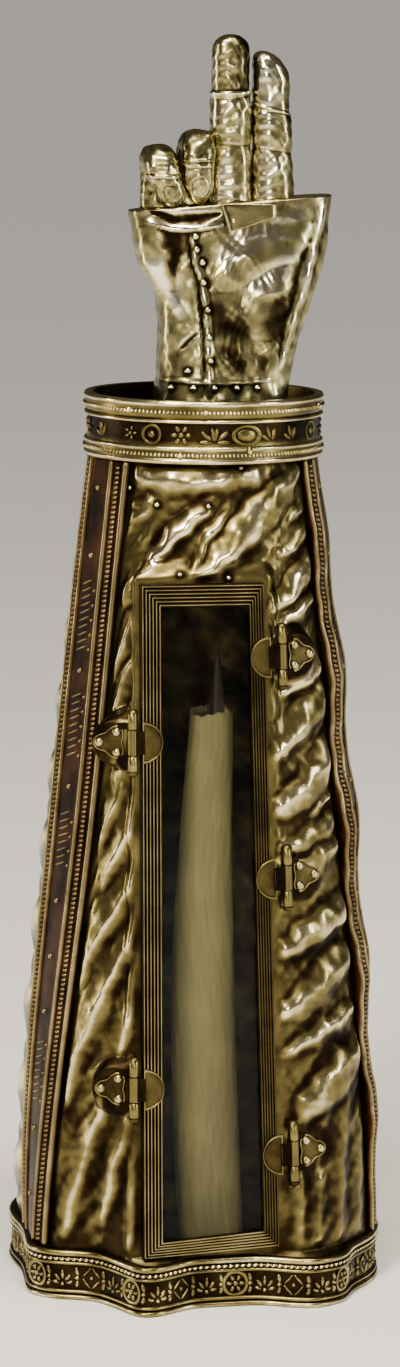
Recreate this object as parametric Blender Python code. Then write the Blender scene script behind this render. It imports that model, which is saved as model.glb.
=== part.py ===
"""Arm reliquary: an embossed sheet-metal sleeve with a glazed door, a collar and a blessing hand.

The model stands on z = 0 with +Z up. The glazed window faces -Y, and the origin is at the middle
of the underside. An angle around the sleeve is measured from -Y, positive towards +X.
"""
import math

import bmesh
import bpy
from mathutils import Matrix, Vector

# Clearances between pieces that touch, in metres
CLEARANCE = 0.0003
PIN_CLEARANCE = 0.0004
COLLAR_CLEARANCE = 0.0006

# Sleeve: height, half width and half depth at the hem and at the top, and its sheet
SLEEVE_HEIGHT = 0.4300
HEM_HALF_WIDTH = 0.0885
HEM_HALF_DEPTH = 0.0725
TOP_HALF_WIDTH = 0.0540
TOP_HALF_DEPTH = 0.0475
HEM_SQUARENESS = 2.8
TOP_SQUARENESS = 2.0
SLEEVE_SHEET = 0.0016
TAPER_POWER = 1.4

# The hem waves in plan: angle in degrees, width in degrees and how far each wave stands out
HEM_WAVES = (
    (-25.0, 9.0, 0.0145),
    (-48.0, 9.0, -0.0075),
    (-66.0, 8.0, 0.0035),
    (-88.0, 14.0, -0.0035),
    (27.0, 9.0, 0.0120),
    (38.0, 8.0, 0.0080),
    (112.0, 12.0, 0.0040),
    (150.0, 12.0, 0.0050),
    (-170.0, 12.0, 0.0050),
    (-135.0, 12.0, 0.0040),
)
HEM_LEDGE = 0.0020
HEM_WAVE_RISE = 0.1150
HEM_WAVE_ABOVE_LEDGE = 0.40

# Drapery: families of diagonal folds, each with its slope and spacing up the sleeve
FOLD_HEIGHT = 0.0062
FOLD_SHARPNESS = 1.25
RIGHT_FOLD_PITCH = 0.0400
RIGHT_FOLD_SLOPE = 0.80
RIGHT_FOLD_START = 0.0050
LEFT_FOLD_PITCH = 0.0300
LEFT_FOLD_SLOPE_HEM = 3.0
LEFT_FOLD_SLOPE_TOP = 1.5
LEFT_FOLD_START = 0.0100
FRONT_FOLD_PITCH = 0.0300
FRONT_FOLD_SLOPE = 0.85
BACK_FOLD_PITCH = 0.0520
BACK_FOLD_SLOPE = 0.80
FOLD_EDGE_FADE = 0.0060
BACK_EDGE_FADE = 0.0250
FOLD_END_FADE = 0.0120
HEM_FOLD_TOP = 0.0750
HEM_FOLD_PITCH = 0.0105

# How finely the sleeve is divided: columns by stretch, rows by height
FLANK_COLUMNS = 10
SEAT_COLUMNS = 6
BAND_COLUMNS = 3
BACK_COLUMNS = 10
ROWS_BESIDE_DOOR = 24
ROWS_ABOVE_DOOR = 5
INNER_ROWS = 5
ROW_SPREAD = 1.15

# Base band around the hem, and the floor inside it
BASE_HEIGHT = 0.0255
BASE_SHEET = 0.0012
BASE_MOULDING = 0.0030
FLOOR_THICKNESS = 0.0030

# Collar: a ring of mouldings with a sunk floor that carries the hand
COLLAR_LAP = 0.0138
COLLAR_RISE = 0.0167
COLLAR_BOTTOM = SLEEVE_HEIGHT - COLLAR_LAP
COLLAR_TOP = SLEEVE_HEIGHT + COLLAR_RISE
COLLAR_FLOOR = 0.0020
COLLAR_WALL = 0.0026
COLLAR_MOULDING = 0.0026
COLLAR_COLUMNS = 26

# Side bands down the sleeve
BAND_WIDTH = 0.0420
BAND_SHEET = 0.0010
BAND_RIB = 0.0022
BAND_INNER_ANGLE_HEM = 62.0
BAND_INNER_ANGLE_TOP = 54.0
BAND_ANGLE_SETTLES = 0.2500
BAND_ROWS = 12
BAND_WAVE_PITCH = 0.0750
BAND_WAVE_START = 0.0100
BAND_WAVE_HEIGHTS = {"band_left": 0.0, "band_right": 0.0030}

# Glazed door: outer corners on its own plane, as distance to the right and height
DOOR_LEFT_TOP = -0.0425
DOOR_RIGHT_TOP = 0.0185
DOOR_LEFT_BOTTOM = -0.0408
DOOR_RIGHT_BOTTOM = 0.0281
DOOR_HEAD = 0.3588
DOOR_SILL_GAP = 0.0007
DOOR_SILL_LEFT = BASE_HEIGHT + DOOR_SILL_GAP
DOOR_SILL_RISE = 0.0036
DOOR_LEFT_MEMBER = 0.0102
DOOR_RIGHT_MEMBER = 0.0080
DOOR_HEAD_RAIL = 0.0110
DOOR_SILL_RAIL = 0.0084
DOOR_THICKNESS = 0.0054
DOOR_REEDS = 6
DOOR_REED_DEPTH = 0.0009
GLASS_THICKNESS = 0.0020
GLASS_LAP = 0.0025
GLASS_REBATE_GAP = 0.0004

# The flat seat of the door leans back from the hem to the top
SEAT_DEPTH_HEM = 0.0725
SEAT_DEPTH_HEAD = 0.0545
SEAT_MARGIN = 0.0015
SEAT_BLEND = 0.0100
OPENING_LAP = 0.0010
WINDOW_CUT_REACH = 0.0200

# Hinges on the right of the door and catches on its left, by height of their middle
HINGE_HEIGHTS = {"top": 0.3230, "middle": 0.2140, "lower": 0.0765}
CATCH_HEIGHTS = {"top": 0.2824, "lower": 0.1115}
HINGE_OFFSET = 0.0082
CATCH_OFFSET = 0.0042
BARREL_RADIUS = 0.0025
BARREL_LENGTH = 0.0290
BARREL_SIDES = 6
KNUCKLE_LENGTH = 0.0120
KNUCKLE_GAP = 0.0004
KNUCKLE_BITE = 0.0013
PIN_RADIUS = 0.0012
PIN_CAP_RADIUS = 0.0031
PIN_CAP_HEIGHT = 0.0022
PIN_CAP_TAPER = 0.70
AXIS_LEVEL = 0.0044
LEAF_THICKNESS = 0.0012
HALF_DISC_RADIUS = 0.0103
HALF_DISC_SIDES = 8
HINGE_LEAF_OVERHANG = 0.0024
CATCH_LEAF_OVERHANG = -0.0002
PLATE_RADIUS = 0.0074
PLATE_LOBING = 0.24
PLATE_SIDES = 12
PLATE_REACH = 0.0110
PLATE_BACK = 0.0022
PLATE_TURN = math.radians(20.0)
PLATE_PAD = 0.0100
PLATE_PAD_BLEND = 0.0060
PLATE_SEAT_GAP = 0.0005
PLATE_CLEAR_HEIGHT = 0.0120
PLATE_CLEAR_SIDES = 8
TONGUE_HEIGHT = 0.0032
TONGUE_INSET = 0.05
BARREL_CUT_SIDES = 10

# Relic bone inside, standing on the floor
BONE_FOOT_X = 0.0040
BONE_HEAD_X = -0.0010
BONE_Y = -0.0330
BONE_TOP = 0.2918
BONE_TIP = 0.0302
BONE_TIP_X = 0.0045
BONE_HALF_WIDTHS = (0.0160, 0.0165, 0.0162, 0.0152, 0.0128, 0.0106)
BONE_TIP_STEPS = ((0.62, 0.12), (0.36, 0.55), (0.12, 1.0))
BONE_DEPTH_SHARE = 0.85
BONE_BOW = -0.0048
BONE_SQUARENESS = 2.2
BONE_COLUMNS = 10

# Hand: a glove of sheet with its thumb lost, as height, left and right edge and half depth
PALM_ROWS = (
    (0.0000, -0.0252, 0.0392, 0.0215),
    (0.0200, -0.0250, 0.0402, 0.0210),
    (0.0415, -0.0246, 0.0450, 0.0200),
    (0.0555, -0.0248, 0.0496, 0.0190),
    (0.0665, -0.0274, 0.0532, 0.0182),
    (0.0765, -0.0344, 0.0562, 0.0175),
    (0.0835, -0.0364, 0.0584, 0.0170),
    (0.0985, -0.0392, 0.0604, 0.0155),
    (0.1035, -0.0400, 0.0608, 0.0150),
)
PALM_MIDDLE_Y = -0.0060
PALM_SQUARENESS = 3.4
PALM_TOP_RISE = 0.0080
PALM_COLUMNS = 20

# Raised fingers, standing on the palm's top
RAISED_FINGERS = {
    "raised_finger_left": {
        "x": 0.0104, "lean": -0.0006, "length": 0.0815, "half_width": 0.0098, "half_depth": 0.0088,
        "joints": (0.34, 0.62), "sleeve": 0.66, "slant": 0.0, "flat_tip": 3.6,
    },
    "raised_finger_right": {
        "x": 0.0316, "lean": -0.0020, "length": 0.0710, "half_width": 0.0098, "half_depth": 0.0088,
        "joints": (0.33, 0.60), "sleeve": 0.62, "slant": 0.0045, "flat_tip": 2.4,
    },
}
FINGER_Y = -0.0050
FINGER_COLUMNS = 10
FINGER_SQUARENESS = 2.5
FINGER_TAPER = 0.93
FINGER_CREASE = 0.07
FINGER_CREASE_SPREAD = 0.03
FINGER_LAP = 0.05
FINGER_TIP_START = 0.86

# Folded fingers, bent over in front of the palm's top
FOLDED_FINGERS = {
    "folded_finger_ring": {"x": -0.0083, "rise": 0.0370, "half_width": 0.0082, "lean": 0.0010},
    "folded_finger_little": {"x": -0.0254, "rise": 0.0310, "half_width": 0.0083, "lean": -0.0015},
}
FOLDED_SPREAD = 0.0145
FOLDED_MIDDLE_Y = -0.0095
FOLDED_STEPS = 6
FOLDED_TIP_GAP = 0.0010
FOLDED_HALF_THICKNESS = 0.0068
FOLDED_TIP_STEPS = ((0.55, 0.97), (0.85, 0.85), (1.0, 0.45))

# Small pointed plate riveted under the raised fingers
CUFF_PLATE_HALF_WIDTH = 0.0140
CUFF_PLATE_THICKNESS = 0.0010
CUFF_PLATE_X = 0.0160
CUFF_PLATE_POINT_X = -0.0095
CUFF_PLATE_TOP_GAP = 0.0005
CUFF_PLATE_DROP = 0.0145
CUFF_PLATE_SIDE_DROP = 0.0070

# Finishes: colour, metallic and roughness
FINISHES = {
    "silver_gilt": ((0.45, 0.38, 0.22), 1.0, 0.35),
    "dark_silver": ((0.25, 0.21, 0.14), 1.0, 0.45),
    "clear_glass": ((0.90, 0.93, 0.90), 0.0, 0.05),
    "old_bone": ((0.55, 0.50, 0.36), 0.0, 0.60),
}


def smooth(share):
    """Smooth step: 3 t^2 - 2 t^3 with t held between 0 and 1."""
    t = min(1.0, max(0.0, share))
    return t * t * (3.0 - 2.0 * t)


def mix(a, b, share):
    return a + (b - a) * share


def oval_radius(angle, half_width, half_depth, squareness=2.0):
    """Distance from the axis to a superellipse, in the direction of an angle from -Y."""
    across = abs(math.sin(angle) / half_width) ** squareness
    deep = abs(math.cos(angle) / half_depth) ** squareness
    return (across + deep) ** (-1.0 / squareness)


def material(piece, finish):
    """A piece's own material, with the colour, metallic and roughness of its finish."""
    colour, metallic, roughness = FINISHES[finish]
    made = bpy.data.materials.new(piece + "_" + finish)
    made.use_nodes = True
    shader = made.node_tree.nodes["Principled BSDF"]
    shader.inputs["Base Color"].default_value = (*colour, 1.0)
    shader.inputs["Metallic"].default_value = metallic
    shader.inputs["Roughness"].default_value = roughness
    return made


def add_object(name, points, faces, finish=None):
    """One mesh object with its normals turned outwards. A helper body has no finish."""
    mesh = bpy.data.meshes.new(name)
    mesh.from_pydata([tuple(point) for point in points], [], faces)
    work = bmesh.new()
    work.from_mesh(mesh)
    bmesh.ops.recalc_face_normals(work, faces=work.faces)
    work.to_mesh(mesh)
    work.free()
    mesh.update()
    mesh.shade_smooth()
    mesh.set_sharp_from_angle(angle=math.radians(35.0))
    made = bpy.data.objects.new(name, mesh)
    bpy.context.scene.collection.objects.link(made)
    if finish:
        made.data.materials.append(material(name, finish))
    return made


def ring_faces(rings, closed_loop=False):
    """Quads between neighbouring rings of equal length, as lists of point numbers."""
    faces = []
    count = len(rings)
    for r in range(count if closed_loop else count - 1):
        low = rings[r]
        high = rings[(r + 1) % count]
        size = len(low)
        for c in range(size):
            d = (c + 1) % size
            faces.append((low[c], low[d], high[d], high[c]))
    return faces


def loft(name, sections, finish=None):
    """A closed body through sections of equal point count, capped flat at both ends."""
    points = [point for section in sections for point in section]
    size = len(sections[0])
    rings = [list(range(r * size, (r + 1) * size)) for r in range(len(sections))]
    faces = ring_faces(rings)
    faces.append(tuple(rings[0]))
    faces.append(tuple(rings[-1]))
    return add_object(name, points, faces, finish)


def prism(name, outline, placing, low, high, finish=None):
    """An outline in a local plane, given as (across, up), extruded from low to high along its normal."""
    sections = []
    for level in (low, high):
        sections.append([placing @ Vector((across, level, up)) for across, up in outline])
    return loft(name, sections, finish)


def cylinder(name, placing, start, end, radius, sides):
    """A round bar along the local up direction."""
    sections = []
    for level in (start, end):
        turn = [2.0 * math.pi * k / sides for k in range(sides)]
        ring = [Vector((radius * math.cos(t), radius * math.sin(t), level)) for t in turn]
        sections.append([placing @ point for point in ring])
    return loft(name, sections)


def combine(target, other, operation):
    """Boolean of two objects; the second is left out of the model."""
    step = target.modifiers.new(operation.title() + "_" + other.name, "BOOLEAN")
    step.operation = operation
    step.solver = "EXACT"
    step.object = other
    other.hide_render = True
    other.display_type = "WIRE"
    return target


def apply_modifiers(target):
    """Fix an object's modifiers into its mesh, and drop the helpers that they used."""
    helpers = [step.object for step in target.modifiers]
    graph = bpy.context.evaluated_depsgraph_get()
    mesh = bpy.data.meshes.new_from_object(target.evaluated_get(graph))
    target.modifiers.clear()
    target.data = mesh
    for helper in helpers:
        bpy.data.objects.remove(helper)
    return target


# Form of the sleeve

def taper(z):
    """Share of the way from base band to collar, eased so that the sleeve swells below."""
    share = (z - BASE_HEIGHT) / (COLLAR_BOTTOM - BASE_HEIGHT)
    return min(max(share, 0.0), 1.0) ** TAPER_POWER


def hem_wave(angle):
    """How far the hem's waves stand out at an angle, as a sum of bell curves."""
    total = 0.0
    for centre, width, height in HEM_WAVES:
        turn = (math.degrees(angle) - centre + 180.0) % 360.0 - 180.0
        total += height * math.exp(-((turn / width) ** 2))
    return total


def door_edges(z):
    """Left and right outer edge of the door at a height, as distances to the right."""
    share = (z - DOOR_SILL_LEFT) / (DOOR_HEAD - DOOR_SILL_LEFT)
    left = mix(DOOR_LEFT_BOTTOM, DOOR_LEFT_TOP, share)
    right = mix(DOOR_RIGHT_BOTTOM, DOOR_RIGHT_TOP, share)
    return left, right


def seat_depth(z):
    """How far in front of the axis the door's flat seat stands at a height."""
    share = (z - DOOR_SILL_LEFT) / (DOOR_HEAD - DOOR_SILL_LEFT)
    return mix(SEAT_DEPTH_HEM, SEAT_DEPTH_HEAD, share)


def seat_share(angle, z):
    """1 on the door's seat, falling to 0 past its edges and above its head."""
    if math.cos(angle) < 0.2:
        return 0.0
    across = seat_depth(z) * math.tan(angle)
    left, right = door_edges(min(z, DOOR_HEAD))
    beside = max(left - SEAT_MARGIN - across, across - right - SEAT_MARGIN, 0.0)
    above = max(z - DOOR_HEAD - SEAT_MARGIN, 0.0)
    return 1.0 - smooth(math.hypot(beside, above) / SEAT_BLEND)


def sleeve_radius(angle, z):
    """Plan radius of the bare sheet: tapering oval, flat door seat, and a hem that waves further out."""
    share = taper(z)
    half_width = mix(HEM_HALF_WIDTH, TOP_HALF_WIDTH, share)
    half_depth = mix(HEM_HALF_DEPTH, TOP_HALF_DEPTH, share)
    squareness = mix(HEM_SQUARENESS, TOP_SQUARENESS, share)
    oval = oval_radius(angle, half_width, half_depth, squareness)
    fade = max(0.0, 1.0 - max(z - BASE_HEIGHT, 0.0) / HEM_WAVE_RISE) ** 2
    wave = hem_wave(angle) * fade
    radius = oval + min(wave, wave * HEM_WAVE_ABOVE_LEDGE)
    level = max(z, DOOR_SILL_LEFT)
    flat = seat_share(angle, level)
    if flat > 0.0:
        radius = mix(radius, seat_depth(level) / math.cos(angle), flat)
    above_ledge = min(1.0, max(0.0, (z - BASE_HEIGHT + HEM_LEDGE) / HEM_LEDGE))
    return mix(max(oval + wave, radius), radius, above_ledge)


def band_inner_angle(z):
    """Angle of the side band's front edge at a height."""
    share = smooth((z - BASE_HEIGHT) / BAND_ANGLE_SETTLES)
    return math.radians(mix(BAND_INNER_ANGLE_HEM, BAND_INNER_ANGLE_TOP, share))


def band_outer_angle(z):
    """Angle of the side band's back edge: the band's width further round."""
    inner = band_inner_angle(z)
    share = taper(z)
    half_width = mix(HEM_HALF_WIDTH, TOP_HALF_WIDTH, share)
    return inner + BAND_WIDTH / half_width


def door_edge_angles(z):
    """Angles of the seat's left and right edges, with its margin."""
    level = min(max(z, DOOR_SILL_LEFT), DOOR_HEAD)
    left, right = door_edges(level)
    depth = seat_depth(level)
    return math.atan2(left - SEAT_MARGIN, depth), math.atan2(right + SEAT_MARGIN, depth)


def column_angles(z):
    """Angles of the sleeve's columns, which follow the door's edges and the side bands."""
    left, right = door_edge_angles(z)
    inner = band_inner_angle(z)
    outer = band_outer_angle(z)
    marks = (-inner, left, right, inner, outer, 2.0 * math.pi - outer, 2.0 * math.pi - inner)
    counts = (FLANK_COLUMNS, SEAT_COLUMNS, FLANK_COLUMNS, BAND_COLUMNS, BACK_COLUMNS, BAND_COLUMNS)
    angles = []
    for k, count in enumerate(counts):
        angles += [mix(marks[k], marks[k + 1], i / count) for i in range(count)]
    return angles


def crest(phase):
    """A rounded ridge once in every unit of phase: a cosine raised to sharpen its crest."""
    return (0.5 + 0.5 * math.cos(2.0 * math.pi * phase)) ** FOLD_SHARPNESS


def fold_height(angle, z):
    """How far the drapery stands out from the bare sheet."""
    turn = (angle + math.pi) % (2.0 * math.pi) - math.pi
    radius = sleeve_radius(turn, z)
    inner = band_inner_angle(z)
    outer = band_outer_angle(z)
    left, right = door_edge_angles(z)
    along = radius * turn
    if abs(turn) < inner:
        from_band = (inner - abs(turn)) * radius
        above_door = z - DOOR_HEAD - SEAT_MARGIN
        beside = max(left - turn, turn - right) * radius
        from_door = max(beside, above_door)
        edge = smooth(from_band / FOLD_EDGE_FADE) * smooth(from_door / FOLD_EDGE_FADE)
        if above_door > 0.0:
            rise = crest((z - FRONT_FOLD_SLOPE * along) / FRONT_FOLD_PITCH)
        elif turn > 0.0:
            rise = crest((z - RIGHT_FOLD_SLOPE * along - RIGHT_FOLD_START) / RIGHT_FOLD_PITCH)
            hanging = crest(along / HEM_FOLD_PITCH)
            rise = mix(hanging, rise, smooth((z - HEM_FOLD_TOP) / HEM_FOLD_TOP))
        else:
            slope = mix(LEFT_FOLD_SLOPE_HEM, LEFT_FOLD_SLOPE_TOP, z / DOOR_HEAD)
            rise = crest((z - slope * along - LEFT_FOLD_START) / LEFT_FOLD_PITCH)
    elif abs(turn) < outer:
        return 0.0
    else:
        from_band = (abs(turn) - outer) * radius
        edge = smooth(from_band / BACK_EDGE_FADE)
        rise = crest((z - BACK_FOLD_SLOPE * radius * (turn % (2.0 * math.pi))) / BACK_FOLD_PITCH)
    ends = smooth((z - BASE_HEIGHT) / FOLD_END_FADE) * smooth((COLLAR_BOTTOM - z) / FOLD_END_FADE)
    height = FOLD_HEIGHT * rise * edge * ends
    seat, share = plate_seat(turn, z)
    share *= smooth(max(left - turn, turn - right) * radius / PLATE_PAD_BLEND)
    if share > 0.0:
        height = mix(height, max(seat - PLATE_SEAT_GAP - radius, 0.0), share)
    return height


def point_on(angle, radius, z):
    return Vector((radius * math.sin(angle), -radius * math.cos(angle), z))


def sleeve_levels(rows_beside, rows_above):
    """Heights of the sleeve's rings, with one at each side of the ledge and one above the door."""
    head = DOOR_HEAD + SEAT_MARGIN
    levels = [0.0, BASE_HEIGHT - HEM_LEDGE]
    levels += [mix(BASE_HEIGHT, head, (k / rows_beside) ** ROW_SPREAD) for k in range(rows_beside)]
    levels += [mix(head, COLLAR_BOTTOM, k / rows_above) for k in range(rows_above)]
    return levels + [COLLAR_BOTTOM, SLEEVE_HEIGHT]


def build_sleeve(finish):
    """Hollow sleeve: draped outer face, smooth inner face one sheet behind and under it."""
    points = []
    rings = []
    for z in sleeve_levels(ROWS_BESIDE_DOOR, ROWS_ABOVE_DOOR):
        angles = column_angles(z)
        rings.append(list(range(len(points), len(points) + len(angles))))
        points += [point_on(a, sleeve_radius(a, z) + fold_height(a, z), z) for a in angles]
    for z in reversed(sleeve_levels(INNER_ROWS, 1)):
        angles = column_angles(z)
        rings.append(list(range(len(points), len(points) + len(angles))))
        level = z - SLEEVE_SHEET if 0.0 < z <= BASE_HEIGHT else z
        points += [point_on(a, sleeve_radius(a, z) - SLEEVE_SHEET, level) for a in angles]
    return add_object("sleeve", points, ring_faces(rings, closed_loop=True), finish)


def build_floor(finish):
    """Flat plate that closes the sleeve below."""
    sections = []
    gap = SLEEVE_SHEET + CLEARANCE
    for z in (0.0, FLOOR_THICKNESS):
        sections.append([point_on(a, sleeve_radius(a, 0.0) - gap, z) for a in column_angles(0.0)])
    return loft("floor_plate", sections, finish)


def sweep_ring(name, plan, profile, finish):
    """A closed profile of (outwards, height) carried round a plan given by column."""
    columns = len(plan)
    points = []
    rings = []
    for outwards, z in profile:
        rings.append(list(range(len(points), len(points) + columns)))
        points += [point_on(a, radius + outwards, z) for a, radius in plan]
    return add_object(name, points, ring_faces(rings, closed_loop=True), finish)


def build_base_band(finish):
    """Waved foot band: two rolls with a sunk frieze between them."""
    plan = [(a, sleeve_radius(a, 0.0) + CLEARANCE) for a in column_angles(0.0)]
    height = BASE_HEIGHT
    out = BASE_SHEET + BASE_MOULDING
    sunk = BASE_SHEET + BASE_MOULDING * 0.25
    profile = (
        (0.0, 0.0), (out * 0.95, 0.0), (out * 0.95, height * 0.12), (sunk, height * 0.23),
        (sunk, height * 0.66), (out * 0.70, height * 0.72), (out * 0.66, height * 0.84),
        (out * 0.95, height * 0.90), (out * 0.70, height), (0.0, height),
    )
    return sweep_ring("base_band", plan, profile, finish)


def build_collar(finish):
    """Ring of rolls and a sunk frieze, with a floor set down inside it."""
    height = COLLAR_TOP - COLLAR_BOTTOM
    out = COLLAR_WALL + COLLAR_MOULDING
    sunk = COLLAR_WALL + COLLAR_MOULDING * 0.2
    floor_low = SLEEVE_HEIGHT + CLEARANCE
    shares = (
        (out * 0.80, 0.00), (out * 0.95, 0.05), (out * 0.70, 0.13), (out * 0.78, 0.24),
        (out * 0.95, 0.31), (sunk, 0.38), (sunk, 0.68), (out * 0.92, 0.73), (out * 0.72, 0.80),
        (out * 0.78, 0.90), (out, 0.95), (out * 0.80, 1.00), (COLLAR_WALL * 0.25, 1.00),
    )
    profile = [(0.0, floor_low), (0.0, COLLAR_BOTTOM)]
    profile += [(outwards, COLLAR_BOTTOM + height * share) for outwards, share in shares]
    profile.append((0.0, floor_low + COLLAR_FLOOR))
    sections = []
    for outwards, z in profile:
        section = []
        for k in range(COLLAR_COLUMNS):
            a = 2.0 * math.pi * k / COLLAR_COLUMNS
            inner = oval_radius(a, TOP_HALF_WIDTH, TOP_HALF_DEPTH, TOP_SQUARENESS) + COLLAR_CLEARANCE
            section.append(point_on(a, inner + outwards, z))
        sections.append(section)
    return loft("collar", sections, finish)


def build_side_band(name, side, finish):
    """Moulded band down one side: ribs beside a bead row, and a sunk panel between them."""
    low = BASE_HEIGHT + CLEARANCE
    high = COLLAR_BOTTOM - CLEARANCE
    profile = (
        (0.00, 0.6), (0.07, 1.0), (0.09, 0.7), (0.22, 0.7), (0.24, 1.0), (0.29, 0.9), (0.30, 0.25),
        (0.70, 0.25), (0.71, 0.9), (0.76, 1.0), (0.78, 0.7), (0.91, 0.7), (0.93, 1.0), (1.00, 0.6),
    )
    sections = []
    for r in range(BAND_ROWS + 1):
        z = mix(low, high, r / BAND_ROWS)
        ends = smooth(min(z - low, high - z) / BAND_WAVE_PITCH)
        wave = BAND_WAVE_HEIGHTS[name] * ends * crest((z - BAND_WAVE_START) / BAND_WAVE_PITCH)
        inner = band_inner_angle(z)
        outer = band_outer_angle(z)
        section = []
        for share, rise in profile:
            a = mix(inner, outer, share)
            radius = sleeve_radius(side * a, z) + CLEARANCE + BAND_SHEET + BAND_RIB * rise + wave
            section.append(point_on(side * a, radius, z))
        for share in (1.0, 2.0 / 3.0, 1.0 / 3.0, 0.0):
            a = mix(inner, outer, share)
            section.append(point_on(side * a, sleeve_radius(side * a, z) + CLEARANCE * 2.0, z))
        sections.append(section)
    return loft(name, sections, finish)


# Door, hinges and catches

def door_frame_placing():
    """Matrix from the door's plane to the world: across, out of the seat, and up its lean."""
    lean = math.atan2(SEAT_DEPTH_HEM - SEAT_DEPTH_HEAD, DOOR_HEAD - DOOR_SILL_LEFT)
    turn = Matrix.Rotation(-lean, 4, "X")
    foot = Vector((0.0, -seat_depth(DOOR_SILL_LEFT), DOOR_SILL_LEFT))
    return Matrix.Translation(foot) @ turn, lean


def door_corners(lap):
    """The door's four corners, moved inwards by a share of its members: 0 outside, 1 inside."""
    _, lean = door_frame_placing()
    length = (DOOR_HEAD - DOOR_SILL_LEFT) / math.cos(lean)
    left = DOOR_LEFT_MEMBER * lap
    right = DOOR_RIGHT_MEMBER * lap
    head = length - DOOR_HEAD_RAIL * lap
    sill = DOOR_SILL_RAIL * lap
    drift_left = (DOOR_LEFT_TOP - DOOR_LEFT_BOTTOM) / length
    drift_right = (DOOR_RIGHT_TOP - DOOR_RIGHT_BOTTOM) / length
    low_right = sill + DOOR_SILL_RISE
    return (
        (DOOR_LEFT_BOTTOM + left + drift_left * sill, sill),
        (DOOR_RIGHT_BOTTOM - right + drift_right * low_right, low_right),
        (DOOR_RIGHT_BOTTOM - right + drift_right * head, head),
        (DOOR_LEFT_BOTTOM + left + drift_left * head, head),
    )


def build_door_frame(finish):
    """Reeded, mitred frame with a rebate behind for the glass."""
    placing, _ = door_frame_placing()
    back = -CLEARANCE
    front = -DOOR_THICKNESS
    groove = front + DOOR_REED_DEPTH
    rebate = back - GLASS_THICKNESS - GLASS_REBATE_GAP
    lap = 1.0 - (GLASS_LAP + GLASS_REBATE_GAP) / DOOR_RIGHT_MEMBER
    profile = [(0.0, back), (0.0, groove)]
    for k in range(DOOR_REEDS):
        profile.append(((k + 0.5) / DOOR_REEDS, front))
        profile.append(((k + 1.0) / DOOR_REEDS, groove))
    profile += [(1.0, rebate), (lap, rebate), (lap, back)]
    points = []
    rings = []
    for share, level in profile:
        rings.append(list(range(len(points), len(points) + 4)))
        points += [placing @ Vector((x, level, up)) for x, up in door_corners(share)]
    return add_object("door_frame", points, ring_faces(rings, closed_loop=True), finish)


def build_glass(finish):
    """Clear pane held in the door's rebate."""
    placing, _ = door_frame_placing()
    lap = 1.0 - GLASS_LAP / DOOR_RIGHT_MEMBER
    back = -CLEARANCE - GLASS_REBATE_GAP * 0.5
    front = back - GLASS_THICKNESS + CLEARANCE * 0.5
    return prism("glass_pane", door_corners(lap), placing, back, front, finish)


def axis_placing(side, height):
    """Matrix on the hinge line (side 1) or the catch line (side -1) at a height: right, back, up."""
    placing, _ = door_frame_placing()
    corners = door_corners(0.0)
    low, high = (corners[1], corners[2]) if side > 0 else (corners[0], corners[3])
    offset = HINGE_OFFSET if side > 0 else -CATCH_OFFSET
    start = placing @ Vector((low[0] + offset, -AXIS_LEVEL, low[1]))
    end = placing @ Vector((high[0] + offset, -AXIS_LEVEL, high[1]))
    up = (end - start).normalized()
    back = (placing.to_3x3() @ Vector((0.0, 1.0, 0.0))).normalized()
    right = back.cross(up).normalized()
    middle = start + up * ((height - start.z) / up.z)
    basis = Matrix((right, back, up)).transposed().to_4x4()
    return Matrix.Translation(middle) @ basis


def plate_placing(side, height):
    """Matrix at the middle of a sleeve-side plate, lying back along the flank: right, back, up."""
    turn = Matrix.Rotation(side * PLATE_TURN, 4, "Z")
    shift = Matrix.Translation(Vector((side * PLATE_REACH, PLATE_BACK, 0.0)))
    return axis_placing(side, height) @ turn @ shift


def plate_seat(angle, z):
    """Radius of the nearest plate's seat at this spot and how far it holds, from 0 to 1."""
    best = (0.0, 0.0)
    direction = point_on(angle, 1.0, 0.0)
    for placing in PLATE_PLACINGS:
        normal = placing.to_3x3() @ Vector((0.0, 1.0, 0.0))
        facing = normal.dot(direction)
        if facing > -0.2:
            continue
        centre = placing.translation
        radius = normal.dot(centre - Vector((0.0, 0.0, z))) / facing
        away = (point_on(angle, radius, z) - centre).length
        share = 1.0 - smooth((away - PLATE_PAD) / PLATE_PAD_BLEND)
        if share > best[1]:
            best = (radius, share)
    return best


def trefoil(side):
    """Outline of a three-lobed plate: a circle swelled by the cosine of three times its turn."""
    outline = []
    for k in range(PLATE_SIDES):
        t = 2.0 * math.pi * k / PLATE_SIDES
        radius = PLATE_RADIUS * (1.0 + PLATE_LOBING * math.cos(3.0 * t))
        outline.append((side * radius * math.cos(t), radius * math.sin(t)))
    return outline


def rectangle(low_x, high_x, low_z, high_z):
    return [(low_x, low_z), (high_x, low_z), (high_x, high_z), (low_x, high_z)]


def spindle(name, placing, finish):
    """Two outer knuckles on one pin, with a cap at each end."""
    half = BARREL_LENGTH / 2.0
    inner = KNUCKLE_LENGTH / 2.0 + KNUCKLE_GAP
    tip = PIN_CAP_RADIUS * PIN_CAP_TAPER
    rows = (
        (-half - PIN_CAP_HEIGHT, tip), (-half, PIN_CAP_RADIUS), (-half, BARREL_RADIUS),
        (-inner, BARREL_RADIUS), (-inner, PIN_RADIUS), (inner, PIN_RADIUS), (inner, BARREL_RADIUS),
        (half, BARREL_RADIUS), (half, PIN_CAP_RADIUS), (half + PIN_CAP_HEIGHT, tip),
    )
    turns = [2.0 * math.pi * (k + 0.5) / BARREL_SIDES for k in range(BARREL_SIDES)]
    sections = []
    for level, radius in rows:
        ring = [Vector((radius * math.cos(t), radius * math.sin(t), level)) for t in turns]
        sections.append([placing @ point for point in ring])
    return loft(name, sections, finish)


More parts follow.
